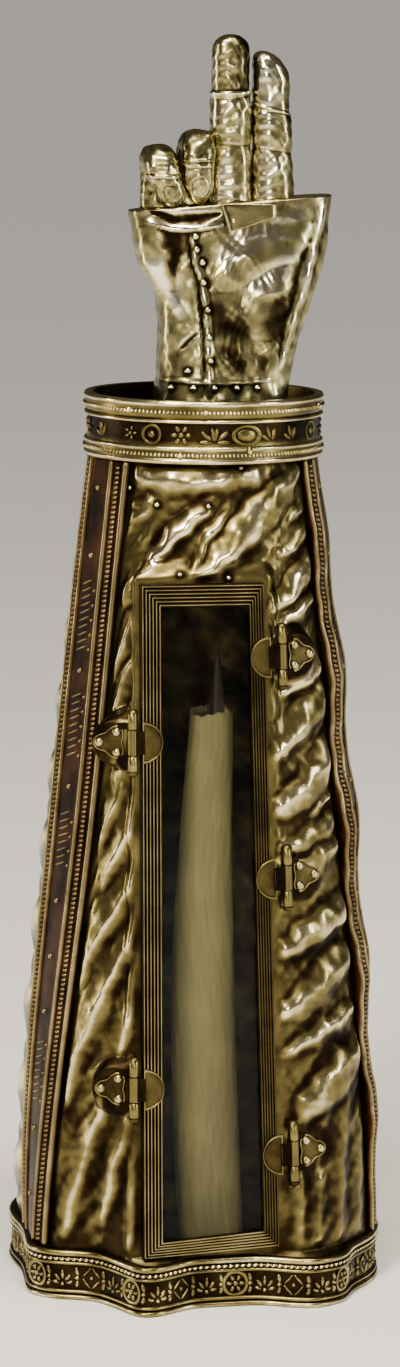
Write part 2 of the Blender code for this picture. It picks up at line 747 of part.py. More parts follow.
def build_sleeve_leaf(name, side, height, finish):
    """Plate on the sleeve, with two tongues to the knuckles beside the door."""
    placing = axis_placing(side, height)
    leaf = spindle(name, placing, finish)
    flat = plate_placing(side, height)
    front = -LEAF_THICKNESS
    plate = prism(name + "_plate", trefoil(side), flat, front, 0.0)
    combine(leaf, plate, "UNION")
    inner = KNUCKLE_LENGTH / 2.0 + KNUCKLE_GAP
    low_x, high_x = sorted((-side * PLATE_REACH, -side * PLATE_RADIUS * 0.45))
    for k, rise in enumerate((-1.0, 1.0)):
        low_z, high_z = sorted((rise * inner, rise * (inner + TONGUE_HEIGHT)))
        outline = rectangle(low_x, high_x, low_z, high_z)
        tongue_front, tongue_back = front * (1.0 - TONGUE_INSET), front * TONGUE_INSET
        tongue = prism(f"{name}_tongue_{k}", outline, flat, tongue_front, tongue_back)
        combine(leaf, tongue, "UNION")
    return apply_modifiers(leaf)


def half_disc(side):
    """Outline on the door's plane: straight along its outer edge, round towards the window."""
    outline = []
    for k in range(HALF_DISC_SIDES + 1):
        t = math.pi * (k / HALF_DISC_SIDES - 0.5)
        outline.append((-side * HALF_DISC_RADIUS * math.cos(t), HALF_DISC_RADIUS * math.sin(t)))
    return outline


def build_knuckle(name, placing, whole):
    """The door's knuckle round a pin: a whole tube on a hinge, a front half of one on a catch."""
    half = KNUCKLE_LENGTH / 2.0
    bore = PIN_RADIUS + PIN_CLEARANCE
    first = 0.0 if whole else math.pi
    count = BARREL_SIDES if whole else BARREL_SIDES // 2 + 1
    turns = [first + 2.0 * math.pi * k / BARREL_SIDES for k in range(count)]
    points = []
    rings = []
    for radius, level in ((BARREL_RADIUS, -half), (BARREL_RADIUS, half), (bore, half), (bore, -half)):
        rings.append(list(range(len(points), len(points) + count)))
        ring = [Vector((radius * math.cos(t), radius * math.sin(t), level)) for t in turns]
        points += [placing @ point for point in ring]
    if whole:
        return add_object(name, points, ring_faces(rings, closed_loop=True))
    faces = [tuple(ring[0] for ring in rings), tuple(ring[-1] for ring in rings)]
    for low, high in zip(rings, rings[1:] + rings[:1]):
        faces += [(low[c], low[c + 1], high[c + 1], high[c]) for c in range(count - 1)]
    return add_object(name, points, faces)


def build_door_leaf(name, side, height, finish):
    """Half-disc leaf on the door's frame, with a tongue to its knuckle between the outer two."""
    placing = axis_placing(side, height)
    hinged = side > 0
    offset = HINGE_OFFSET - HINGE_LEAF_OVERHANG if hinged else CATCH_OFFSET - CATCH_LEAF_OVERHANG
    back = AXIS_LEVEL - DOOR_THICKNESS - CLEARANCE
    front = back - LEAF_THICKNESS
    edge = placing @ Matrix.Translation(Vector((-side * offset, 0.0, 0.0)))
    leaf = prism(name, half_disc(side), edge, front, back, finish)
    half = KNUCKLE_LENGTH / 2.0 * (1.0 - TONGUE_INSET)
    near, far = -side * (BARREL_RADIUS - KNUCKLE_BITE), -side * (offset + LEAF_THICKNESS)
    outline = rectangle(min(near, far), max(near, far), -half, half)
    inset = LEAF_THICKNESS * TONGUE_INSET
    tongue = prism(name + "_tongue", outline, placing, front + inset, back - inset)
    combine(leaf, tongue, "UNION")
    combine(leaf, build_knuckle(name + "_knuckle", placing, hinged), "UNION")
    return apply_modifiers(leaf)


def plate_clearing(side):
    """Outline kept clear over a plate: round at its far end, straight-sided to the barrel."""
    radius = PLATE_RADIUS * (1.0 + PLATE_LOBING) + CLEARANCE * 2.0
    half = BARREL_LENGTH / 2.0
    outline = [(-side * PLATE_REACH, half), (-side * PLATE_REACH, -half)]
    for k in range(PLATE_CLEAR_SIDES + 1):
        t = math.pi * (k / PLATE_CLEAR_SIDES - 0.5)
        outline.append((side * radius * math.cos(t), radius * math.sin(t)))
    return outline


def cut_sleeve(sleeve):
    """Cut the window through the front, and clear the sleeve round its plates and barrels."""
    placing, _ = door_frame_placing()
    lap = 1.0 - OPENING_LAP / DOOR_RIGHT_MEMBER
    window = prism("cut_window", door_corners(lap), placing, -WINDOW_CUT_REACH, WINDOW_CUT_REACH)
    combine(sleeve, window, "DIFFERENCE")
    cuts = [window]
    for side, heights in ((1.0, HINGE_HEIGHTS), (-1.0, CATCH_HEIGHTS)):
        for label, height in heights.items():
            place = label + ("_right" if side > 0 else "_left")
            outline = plate_clearing(side)
            flat = plate_placing(side, height)
            cuts.append(prism("cut_plate_" + place, outline, flat, -PLATE_CLEAR_HEIGHT, CLEARANCE))
            barrel = axis_placing(side, height)
            half = BARREL_LENGTH / 2.0 + PIN_CAP_HEIGHT + PIN_CLEARANCE
            radius = PIN_CAP_RADIUS + PIN_CLEARANCE
            cuts.append(cylinder("cut_barrel_" + place, barrel, -half, half, radius, BARREL_CUT_SIDES))
    for cutter in cuts[1:]:
        combine(sleeve, cutter, "DIFFERENCE")
    return apply_modifiers(sleeve)


# Relic, hand and fingers

def oval_section(centre, right, forward, half_width, half_depth, columns, squareness):
    """A superellipse of points round a centre, in the plane of two directions."""
    section = []
    for k in range(columns):
        t = 2.0 * math.pi * (k + 0.5) / columns
        radius = oval_radius(t, half_width, half_depth, squareness)
        section.append(centre + right * (radius * math.sin(t)) - forward * (radius * math.cos(t)))
    return section


def build_bone(finish):
    """Shaft of bone on the floor, narrowing upwards, with its end broken to a splinter."""
    low = FLOOR_THICKNESS + CLEARANCE
    right = Vector((1.0, 0.0, 0.0))
    back = Vector((0.0, 1.0, 0.0))
    last = len(BONE_HALF_WIDTHS) - 1
    rows = []
    for k, half_width in enumerate(BONE_HALF_WIDTHS):
        x = mix(BONE_FOOT_X, BONE_HEAD_X, k / last) + BONE_BOW * math.sin(math.pi * k / last)
        rows.append((x, mix(low, BONE_TOP, k / last), half_width))
    for share, rise in BONE_TIP_STEPS:
        x = BONE_HEAD_X + BONE_TIP_X * (1.0 - share)
        rows.append((x, BONE_TOP + BONE_TIP * rise, BONE_HALF_WIDTHS[-1] * share))
    sections = []
    for x, z, width in rows:
        centre = Vector((x, BONE_Y, z))
        depth = width * BONE_DEPTH_SHARE
        sections.append(oval_section(centre, right, back, width, depth, BONE_COLUMNS, BONE_SQUARENESS))
    return loft("relic_bone", sections, finish)


def palm_bottom():
    return SLEEVE_HEIGHT + CLEARANCE + COLLAR_FLOOR + CLEARANCE


def palm_top(x):
    """Height of the palm's sloping top at a distance to the right."""
    left = PALM_ROWS[-1][1]
    right = PALM_ROWS[-1][2]
    return palm_bottom() + PALM_ROWS[-1][0] + PALM_TOP_RISE * (x - left) / (right - left)


def build_palm(finish):
    """Square-shouldered sheet glove, flat on top where the fingers and the lost thumb meet it."""
    sections = []
    right = Vector((1.0, 0.0, 0.0))
    back = Vector((0.0, 1.0, 0.0))
    top = PALM_ROWS[-1][0]
    for height, left_x, right_x, half_depth in PALM_ROWS:
        middle = Vector(((left_x + right_x) / 2.0, PALM_MIDDLE_Y, palm_bottom() + height))
        half_width = (right_x - left_x) / 2.0
        section = oval_section(middle, right, back, half_width, half_depth, PALM_COLUMNS, PALM_SQUARENESS)
        for point in section:
            share = smooth((height - PALM_ROWS[-3][0]) / (top - PALM_ROWS[-3][0]))
            point.z += (palm_top(point.x) - palm_bottom() - top) * share
        sections.append(section)
    return loft("palm", sections, finish)


def finger_girth(share, form):
    """Girth along a raised finger: creases at its joints, a lapped sheet above, a round tip."""
    girth = mix(1.0, FINGER_TAPER, share)
    for joint in form["joints"]:
        girth -= FINGER_CREASE * math.exp(-(((share - joint) / FINGER_CREASE_SPREAD) ** 2))
    if share > form["sleeve"]:
        girth += FINGER_LAP
    dome = max(0.0, share - FINGER_TIP_START) / (1.0 - FINGER_TIP_START)
    return girth * math.sqrt(max(0.0, 1.0 - dome ** form["flat_tip"]))


def build_raised_finger(name, form, finish):
    """One straight finger from the palm's top to its tip."""
    right = Vector((1.0, 0.0, 0.0))
    back = Vector((0.0, 1.0, 0.0))
    first, second = form["joints"]
    lap = form["sleeve"]
    shares = (0.0, first - 0.05, first, first + 0.05, second - 0.03, second, lap, lap + 0.002,
              0.80, 0.90, 0.95, 0.98, 0.996)
    tip = palm_top(form["x"]) + form["length"]
    sections = []
    for share in shares:
        girth = finger_girth(share, form)
        centre = Vector((form["x"] + form["lean"] * share, FINGER_Y, 0.0))
        half_width = form["half_width"] * girth
        half_depth = form["half_depth"] * girth
        section = oval_section(
            centre, right, back, half_width, half_depth, FINGER_COLUMNS, FINGER_SQUARENESS
        )
        for point in section:
            point.z = mix(palm_top(point.x) + CLEARANCE, tip, share)
            point.z -= form["slant"] * (point.x - centre.x) / form["half_width"] * smooth(share)
        sections.append(section)
    return loft(name, sections, finish)


def build_folded_finger(name, form, finish):
    """One finger bent right over: up from the palm, round the knuckle and down to its tip."""
    right = Vector((1.0, 0.0, 0.0))
    bend = FOLDED_SPREAD / 2.0
    thickness = FOLDED_HALF_THICKNESS
    knuckle = palm_top(form["x"]) + form["rise"] - bend - thickness

    def section(centre, radial, girth=1.0):
        half_width = form["half_width"] * girth
        return oval_section(
            centre, right, radial, half_width, thickness * girth, FINGER_COLUMNS, FINGER_SQUARENESS
        )

    foot = section(Vector((form["x"], FOLDED_MIDDLE_Y + bend, 0.0)), Vector((0.0, 1.0, 0.0)))
    for point in foot:
        point.z = palm_top(point.x) + CLEARANCE
    sections = [foot]
    for k in range(FOLDED_STEPS + 1):
        t = math.pi * k / FOLDED_STEPS
        radial = Vector((0.0, math.cos(t), math.sin(t)))
        middle = Vector((form["x"] + form["lean"] * math.sin(t), FOLDED_MIDDLE_Y, knuckle))
        sections.append(section(middle + radial * bend, radial))
    tip = palm_top(form["x"]) + FOLDED_TIP_GAP
    for share, girth in FOLDED_TIP_STEPS:
        centre = Vector((form["x"], FOLDED_MIDDLE_Y - bend, mix(knuckle, tip, share)))
        sections.append(section(centre, Vector((0.0, -1.0, 0.0)), girth))
    return loft(name, sections, finish)


def build_cuff_plate(finish):
    """Small pointed plate on the palm's front, under the raised fingers."""
    low_row, high_row = PALM_ROWS[-3], PALM_ROWS[-1]
    rise = palm_top(CUFF_PLATE_X) - palm_bottom() - low_row[0]
    lean = math.atan2(low_row[3] - high_row[3], rise)
    top = Vector((CUFF_PLATE_X, PALM_MIDDLE_Y - high_row[3], palm_top(CUFF_PLATE_X)))
    placing = Matrix.Translation(top) @ Matrix.Rotation(-lean, 4, "X")
    half = CUFF_PLATE_HALF_WIDTH
    outline = [
        (-half, -CUFF_PLATE_TOP_GAP), (CUFF_PLATE_POINT_X, -CUFF_PLATE_DROP),
        (half, -CUFF_PLATE_SIDE_DROP), (half, -CUFF_PLATE_TOP_GAP),
    ]
    gap = CLEARANCE * 2.0
    return prism("cuff_plate", outline, placing, -gap - CUFF_PLATE_THICKNESS, -gap, finish)


def hang_on_hinge(pieces):
    """Parent the door's pieces to an empty on the hinge line, with each where it was."""
    line = bpy.data.objects.new("door_hinge_line", None)
    bpy.context.scene.collection.objects.link(line)
    line.matrix_world = axis_placing(1.0, HINGE_HEIGHTS["lower"])
    for piece in pieces:
        piece.parent = line
        piece.matrix_parent_inverse = axis_placing(1.0, HINGE_HEIGHTS["lower"]).inverted()


PLATE_PLACINGS = [plate_placing(1.0, height) for height in HINGE_HEIGHTS.values()]
PLATE_PLACINGS += [plate_placing(-1.0, height) for height in CATCH_HEIGHTS.values()]


def main():
    for item in list(bpy.data.objects):
        bpy.data.objects.remove(item, do_unlink=True)
    cut_sleeve(build_sleeve("silver_gilt"))
    build_floor("dark_silver")
    build_base_band("silver_gilt")
    build_collar("silver_gilt")
    build_side_band("band_left", -1.0, "dark_silver")
    build_side_band("band_right", 1.0, "dark_silver")
    door = [build_door_frame("silver_gilt"), build_glass("clear_glass")]
    for side, kind, heights in ((1.0, "hinge", HINGE_HEIGHTS), (-1.0, "catch", CATCH_HEIGHTS)):
        for label, height in heights.items():
            build_sleeve_leaf(f"{kind}_{label}", side, height, "silver_gilt")
            door.append(build_door_leaf(f"{kind}_leaf_{label}", side, height, "silver_gilt"))
    hang_on_hinge(door)
    build_bone("old_bone")
    build_palm("silver_gilt")
    for name, form in RAISED_FINGERS.items():
        build_raised_finger(name, form, "silver_gilt")
    for name, form in FOLDED_FINGERS.items():
        build_folded_finger(name, form, "silver_gilt")
    build_cuff_plate("silver_gilt")


main()
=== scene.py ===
"""Looks of an arm reliquary: finer relief, finishes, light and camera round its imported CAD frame."""

import math

import bpy
import numpy as np
from mathutils import Matrix, Vector


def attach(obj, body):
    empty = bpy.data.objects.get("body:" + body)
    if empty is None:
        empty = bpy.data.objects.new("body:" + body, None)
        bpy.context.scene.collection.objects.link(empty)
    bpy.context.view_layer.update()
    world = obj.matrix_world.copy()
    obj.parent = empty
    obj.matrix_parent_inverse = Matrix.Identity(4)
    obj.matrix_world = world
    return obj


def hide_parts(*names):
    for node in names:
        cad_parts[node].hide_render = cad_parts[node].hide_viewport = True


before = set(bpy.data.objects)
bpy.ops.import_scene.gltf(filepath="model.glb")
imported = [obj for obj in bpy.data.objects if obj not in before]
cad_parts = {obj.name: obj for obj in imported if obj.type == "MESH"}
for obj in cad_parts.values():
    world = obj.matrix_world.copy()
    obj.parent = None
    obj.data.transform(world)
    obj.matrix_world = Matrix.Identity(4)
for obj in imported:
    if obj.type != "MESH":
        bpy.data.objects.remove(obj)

bl_info = {
    "name": "Arm reliquary looks",
    "version": (1, 0, 0),
    "blender": (4, 5, 0),
    "location": "3D Viewport > Sidebar > Reliquary",
    "description": "Builds the fine relief, finishes, light and camera of an arm reliquary",
    "category": "Object",
}

# The photograph's camera: angles in degrees, distance in metres, the picture's size in pixels, and
# the sensor in millimetres
CAMERA_AZIMUTH = -12.0
CAMERA_ELEVATION = 9.6
CAMERA_ROLL = 0.8
CAMERA_DISTANCE = 2.2
CAMERA_AIM_HEIGHT = 0.300
PICTURE_WIDTH = 400
PICTURE_HEIGHT = 1367
PIXELS_PER_METRE = 2000.0
SENSOR_WIDTH = 36.0
MILLIMETRE = 0.001

# Sleeve, as the CAD part has it. A wave of the hem is written as its middle and half width in
# degrees from -Y, and how far it stands out
SLEEVE_HEIGHT = 0.4300
HEM_HALF_WIDTH = 0.0885
HEM_HALF_DEPTH = 0.0725
TOP_HALF_WIDTH = 0.0540
TOP_HALF_DEPTH = 0.0475
HEM_SQUARENESS = 2.8
TOP_SQUARENESS = 2.0
TAPER_POWER = 1.4
HEM_WAVES = (
    (-25.0, 9.0, 0.0145), (-48.0, 9.0, -0.0075), (-66.0, 8.0, 0.0035), (-88.0, 14.0, -0.0035),
    (27.0, 9.0, 0.0120), (38.0, 8.0, 0.0080), (112.0, 12.0, 0.0040), (150.0, 12.0, 0.0050),
    (-170.0, 12.0, 0.0050), (-135.0, 12.0, 0.0040),
)
HEM_LEDGE = 0.0020
HEM_WAVE_RISE = 0.1150
HEM_WAVE_ABOVE_LEDGE = 0.40
CLEARANCE = 0.0003
SKIN_SHEET = 0.0011

# Base band and collar
BASE_HEIGHT = 0.0255
BASE_SHEET = 0.0012
BASE_MOULDING = 0.0030
COLLAR_LAP = 0.0138
COLLAR_RISE = 0.0167
COLLAR_BOTTOM = SLEEVE_HEIGHT - COLLAR_LAP
COLLAR_TOP = SLEEVE_HEIGHT + COLLAR_RISE
COLLAR_FLOOR = 0.0020
COLLAR_WALL = 0.0026
COLLAR_MOULDING = 0.0026
COLLAR_CLEARANCE = 0.0006

# Side bands
BAND_WIDTH = 0.0420
BAND_SHEET = 0.0010
BAND_RIB = 0.0022
BAND_INNER_ANGLE_HEM = 62.0
BAND_INNER_ANGLE_TOP = 54.0
BAND_ANGLE_SETTLES = 0.2500
BAND_WAVE_PITCH = 0.0750
BAND_WAVE_START = 0.0100
BAND_WAVE_HEIGHTS = {"band_left": 0.0, "band_right": 0.0030}
BAND_SWAY = 0.0007
BAND_SWAY_STEP = 0.0030
BAND_MEAN_RADIUS = 0.07

# Door
DOOR_LEFT_TOP = -0.0425
DOOR_RIGHT_TOP = 0.0185
DOOR_LEFT_BOTTOM = -0.0408
DOOR_RIGHT_BOTTOM = 0.0281
DOOR_HEAD = 0.3588
DOOR_SILL_LEFT = 0.0262
DOOR_SILL_RISE = 0.0036
DOOR_LEFT_MEMBER = 0.0102
DOOR_RIGHT_MEMBER = 0.0080
DOOR_HEAD_RAIL = 0.0110
DOOR_SILL_RAIL = 0.0084
DOOR_THICKNESS = 0.0054
DOOR_REEDS = 6
DOOR_REED_DEPTH = 0.0010
GLASS_THICKNESS = 0.0020
GLASS_LAP = 0.0025
GLASS_REBATE_GAP = 0.0004
SEAT_DEPTH_HEM = 0.0725
SEAT_DEPTH_HEAD = 0.0545
SEAT_MARGIN = 0.0015
SEAT_BLEND = 0.0100
OPENING_LAP = 0.0010

# Hinges and catches
HINGE_HEIGHTS = {"top": 0.3230, "middle": 0.2140, "lower": 0.0765}
CATCH_HEIGHTS = {"top": 0.2824, "lower": 0.1115}
HINGE_OFFSET = 0.0082
CATCH_OFFSET = 0.0042
BARREL_RADIUS = 0.0025
BARREL_LENGTH = 0.0290
KNUCKLE_LENGTH = 0.0120
KNUCKLE_GAP = 0.0004
PIN_RADIUS = 0.0012
PIN_CLEARANCE = 0.0004
PIN_CAP_RADIUS = 0.0031
PIN_CAP_HEIGHT = 0.0022
AXIS_LEVEL = 0.0044
LEAF_THICKNESS = 0.0012
HALF_DISC_RADIUS = 0.0103
HINGE_LEAF_OVERHANG = 0.0024
CATCH_LEAF_OVERHANG = -0.0002
PLATE_RADIUS = 0.0074
PLATE_LOBING = 0.24
PLATE_REACH = 0.0110
PLATE_BACK = 0.0022
PLATE_TURN = math.radians(20.0)
PLATE_PAD = 0.0100
PLATE_PAD_BLEND = 0.0060
PLATE_SEAT_GAP = 0.0007
TONGUE_HEIGHT = 0.0032

# Relic bone
FLOOR_THICKNESS = 0.0030
BONE_FOOT_X = 0.0040
BONE_HEAD_X = -0.0010
BONE_Y = -0.0330
BONE_TOP = 0.2918
BONE_TIP = 0.0302
BONE_HALF_WIDTHS = (0.0160, 0.0165, 0.0162, 0.0152, 0.0128, 0.0106)
BONE_DEPTH_SHARE = 0.85
BONE_BOW = -0.0048
BONE_SQUARENESS = 2.2
BONE_GRAIN = 0.00012
BONE_FINE_GRAIN = 0.00008
BONE_CRACK_DEPTH = 0.0003
BONE_BREAK_START = 0.93
BONE_BREAK_LENGTH = 0.07
BONE_TIP_SHIFT = 0.5
BONE_TIP_SPREAD = 0.36

# Hand: rows of the palm as height, left and right edge and half depth
PALM_ROWS = (
    (0.0000, -0.0252, 0.0392, 0.0215), (0.0200, -0.0250, 0.0402, 0.0210),
    (0.0415, -0.0246, 0.0450, 0.0200), (0.0555, -0.0248, 0.0496, 0.0190),
    (0.0665, -0.0274, 0.0532, 0.0182), (0.0765, -0.0344, 0.0562, 0.0175),
    (0.0835, -0.0364, 0.0584, 0.0170), (0.0985, -0.0392, 0.0604, 0.0155),
    (0.1035, -0.0400, 0.0608, 0.0150),
)
PALM_MIDDLE_Y = -0.0060
PALM_SQUARENESS = 3.4
PALM_TOP_RISE = 0.0080
PALM_BACK_CREASE = 0.0007
PALM_BACK_PITCH = 0.026
# Sizes of the broad and the fine dents
PALM_DENTS = (0.026, 0.0085)
RAISED_DENTS = (0.015, 0.006)
FOLDED_DENTS = (0.012, 0.005)
# Raised fingers: joints and the end of the lapped sheet are shares of the length. A higher flat_tip
# is blunter, and the last value is painted shade that the tip's hollow values gain, a painted highlight where
# it is below 0
RAISED_FINGERS = {
    "raised_finger_left": {
        "x": 0.0104, "lean": -0.0006, "length": 0.0815, "half_width": 0.0098, "half_depth": 0.0088,
        "joints": (0.34, 0.62), "sleeve": 0.66, "slant": 0.0, "flat_tip": 3.6, "tip_painted_shade": 0.30,
    },
    "raised_finger_right": {
        "x": 0.0316, "lean": -0.0020, "length": 0.0710, "half_width": 0.0098, "half_depth": 0.0088,
        "joints": (0.33, 0.60), "sleeve": 0.62, "slant": 0.0045, "flat_tip": 2.4, "tip_painted_shade": -0.15,
    },
}
FINGER_Y = -0.0050
FINGER_SQUARENESS = 2.5
FINGER_TAPER = 0.93
FINGER_TIP_START = 0.86
# Dips and swells of a raised finger, as a share of its girth and a reach as a share of its length
JOINT_WAIST = (0.045, 0.035)
JOINT_CREASE = (0.035, 0.008)
FINGER_PAD = (0.022, 0.09)
FINGER_PAD_PLACES = (0.17, 0.48, 0.84)
LAP_LIP = (0.03, 0.008)
FOOT_FLARE = (0.04, 0.10)
LAP_STEP = 0.060
TIP_SHEET_DROP = 0.02
# Fingernails: half width as a share of the finger's, middle and half length as shares of its length,
# and the power of their superellipse
RAISED_NAIL = (0.62, 0.90, 0.085, 2.5)
FOLDED_NAIL = (0.66, 0.885, 0.075, 2.6)
FOLDED_FINGERS = {
    "folded_finger_ring": {
        "x": -0.0083, "rise": 0.0370, "half_width": 0.0082, "lean": 0.0010, "tip_lean": 0.0008},
    "folded_finger_little": {
        "x": -0.0254, "rise": 0.0310, "half_width": 0.0083, "lean": -0.0012, "tip_lean": 0.0044},
}
# Creases of a folded finger, as place along it and depth as a share of its girth, and the swelling of
# its knuckle
FOLDED_CREASES = ((0.40, 0.05), (0.46, 0.06), (0.52, 0.05), (0.70, 0.05), (0.74, 0.04))
FOLDED_CREASE_REACH = 0.008
FOLDED_KNUCKLE_PLACE = 0.46
FOLDED_KNUCKLE = (0.05, 0.07)
FOLDED_SPREAD = 0.0145
FOLDED_MIDDLE_Y = -0.0095
FOLDED_TIP_GAP = 0.0010
FOLDED_HALF_THICKNESS = 0.0068
CUFF_PLATE_HALF_WIDTH = 0.0140
CUFF_PLATE_THICKNESS = 0.0010
CUFF_PLATE_X = 0.0160
CUFF_PLATE_POINT_X = -0.0095
CUFF_PLATE_TOP_GAP = 0.0005
CUFF_PLATE_DROP = 0.0145
CUFF_PLATE_SIDE_DROP = 0.0070
CUFF_NAIL = (-0.0075, -0.0088)

# Embossed folds of the front, by name: reach above and below the crest in picture pixels, height in
# millimetres, and the crest's bends in picture pixels, its upper right end first
FRONT_FOLDS = {
    "yoke_roll": (16, 15, 3.4, ((266, 458), (250, 475), (215, 481), (178, 481), (150, 479), (124, 468))),
    "left_line_upper": (5, 6, 1.6, ((153, 501), (138, 504), (124, 509))),
    "left_line_lower": (7, 6, 1.8, ((150, 505), (130, 520), (123, 532), (120, 560))),
    "leaf_small": (12, 10, 4.2, ((208, 508), (186, 524), (166, 545), (144, 574))),
    "thin_crest": (6, 5, 2.4, ((232, 510), (214, 533), (200, 553), (191, 574))),
    "leaf_broad": (19, 20, 4.6, ((300, 464), (276, 490), (250, 524), (228, 551), (196, 580))),
    "border_bump_upper": (7, 7, 2.0, ((314, 482), (300, 503), (288, 522))),
    "border_bump_lower": (8, 8, 2.6, ((322, 506), (304, 531), (278, 556))),
    "lobe_upper": (12, 11, 3.8, ((312, 545), (300, 572), (290, 590), (268, 612))),
    "lobe_lower": (9, 9, 3.0, ((326, 576), (312, 596), (296, 613), (280, 626))),
    "ridge_at_plate": (12, 14, 4.0, ((332, 640), (320, 657), (304, 676), (278, 692))),
    "leaf_one": (17, 20, 4.6, ((333, 668), (318, 693), (303, 716), (288, 737), (270, 760))),
    "leaf_one_branch": (5, 5, 1.8, ((334, 698), (324, 716), (312, 736))),
    "leaf_two": (17, 20, 4.6, ((338, 730), (322, 757), (306, 783), (290, 800), (272, 812))),
    "leaf_two_branch": (6, 6, 2.2, ((338, 776), (326, 795), (308, 816))),
    "leaf_three": (11, 12, 3.2, ((341, 812), (322, 828), (300, 842), (282, 850))),
    "leaf_four": (15, 19, 4.6, ((340, 832), (322, 850), (304, 866), (284, 880))),
    "leaf_five": (14, 20, 4.6, ((356, 888), (335, 909), (310, 929), (278, 954))),
    "leaf_six": (17, 22, 4.6, ((356, 942), (330, 968), (308, 992), (280, 1018))),
    "leaf_seven": (12, 14, 3.4, ((360, 992), (340, 1016), (312, 1036), (282, 1056))),
    "leaf_eight": (17, 23, 4.8, ((364, 1028), (342, 1060), (324, 1086), (296, 1118))),
    "left_knob": (9, 9, 2.6, ((134, 580), (127, 594), (120, 606))),
}
# Pressed pleats beside and below the window, written in the same way: a keen crest, broad above
FRONT_PLEATS = {
    "hem_pleat_one": (13, 9, 1.9, ((306, 1112), (301, 1150), (300, 1200), (300, 1252))),
    "hem_pleat_two": (14, 9, 2.1, ((326, 1098), (319, 1150), (318, 1200), (318, 1252))),
    "hem_pleat_three": (15, 10, 2.2, ((348, 1080), (341, 1140), (339, 1200), (339, 1250))),
    "hem_pleat_four": (14, 9, 1.8, ((362, 1100), (358, 1150), (357, 1200), (357, 1240))),
    "left_ridge_one": (14, 10, 3.8, ((143, 596), (131, 630), (122, 656), (106, 692))),
    "left_ridge_two": (12, 8, 3.2, ((143, 642), (130, 668), (119, 700), (112, 722))),
    "left_ridge_three": (10, 7, 2.6, ((113, 616), (106, 650), (101, 694))),
    "left_ridge_four": (13, 9, 3.2, ((142, 686), (134, 712), (126, 764), (114, 800))),
    "left_pleat_a": (15, 9, 3.0, ((124, 780), (112, 816), (98, 850))),
    "left_pleat_b": (22, 10, 4.0, ((146, 792), (128, 838), (102, 888))),
    "left_pleat_c": (27, 12, 4.2, ((147, 862), (122, 905), (98, 940), (80, 990))),
    "left_pleat_d": (30, 13, 4.6, ((147, 914), (118, 966), (97, 1016), (80, 1056), (66, 1104))),
    "left_pleat_e": (24, 11, 3.8, ((147, 962), (135, 1005), (121, 1052))),
    "left_pleat_f": (24, 13, 4.2, ((108, 1094), (95, 1130), (84, 1176), (64, 1238))),
    "left_pleat_g": (18, 11, 3.4, ((130, 1116), (117, 1160), (103, 1226))),
    "left_pleat_h": (14, 9, 2.8, ((146, 1120), (138, 1160), (130, 1250))),
}
# Rivets of the front, at picture places
DRAPERY_RIVETS = {
    "yoke_left": (116, 466), "shoulder_left": (129, 488), "yoke_right": (241, 467),
    "head_left": (179, 574), "leaf": (209, 506), "head_right": (229, 579), "yoke_under": (156, 505),
}


def smooth(share):
    """Smooth step: 3 t^2 - 2 t^3 with t held between 0 and 1."""
    t = np.clip(share, 0.0, 1.0)
    return t * t * (3.0 - 2.0 * t)


def mix(a, b, share):
    """Value at a share of the way from a to b."""
    return a + (b - a) * share


def crest(phase, sharpness=1.25):
    """A rounded ridge once in every unit of phase: a cosine raised to sharpen its crest."""
    return (0.5 + 0.5 * np.cos(2.0 * np.pi * phase)) ** sharpness


def unit(vectors):
    """Vectors in the same directions, each of length 1."""
    return vectors / np.maximum(np.linalg.norm(vectors, axis=-1, keepdims=True), 1e-12)


def bell(away, reach):
    """Bell curve: 1 where away is 0, and about a third at the reach to either side."""
    return np.exp(-((away / reach) ** 2))


def circle(count, shift=0.0):
    """Angles of evenly spaced places round a circle, moved on by a share of their step."""
    return 2.0 * np.pi * (np.arange(count) + shift) / count


def divided(marks, counts):
    """Values from the first mark to the last, with each stretch between marks evenly divided."""
    parts = [np.linspace(marks[k], marks[k + 1], count, endpoint=False) for k, count in enumerate(counts)]
    return np.concatenate(parts + [marks[-1:]])


def run_along(points):
    """Distance from the first point of a line to each of its points, along the line."""
    return np.concatenate(([0.0], np.cumsum(np.linalg.norm(np.diff(points, axis=0), axis=1))))


# Picture: where the photograph's camera sees a point

def camera_axes():
    """Right, up and back directions of the camera, rolled a little, and its place."""
    azimuth, elevation, roll = map(math.radians, (CAMERA_AZIMUTH, CAMERA_ELEVATION, CAMERA_ROLL))
    back = np.array((math.sin(azimuth) * math.cos(elevation), -math.cos(azimuth) * math.cos(elevation),
                     math.sin(elevation)))
    right = np.array((math.cos(azimuth), math.sin(azimuth), 0.0))
    up = np.cross(back, right)
    rolled_right = right * math.cos(roll) + up * math.sin(roll)
    rolled_up = up * math.cos(roll) - right * math.sin(roll)
    place = np.array((0.0, 0.0, CAMERA_AIM_HEIGHT)) + back * CAMERA_DISTANCE
    return rolled_right, rolled_up, back, place


def in_picture(points):
    """Picture pixels across and down at which the camera sees points."""
    right, up, back, place = camera_axes()
    offset = points - place
    scale = PIXELS_PER_METRE * CAMERA_DISTANCE / -(offset @ back)
    return PICTURE_WIDTH / 2 + (offset @ right) * scale, PICTURE_HEIGHT / 2 - (offset @ up) * scale


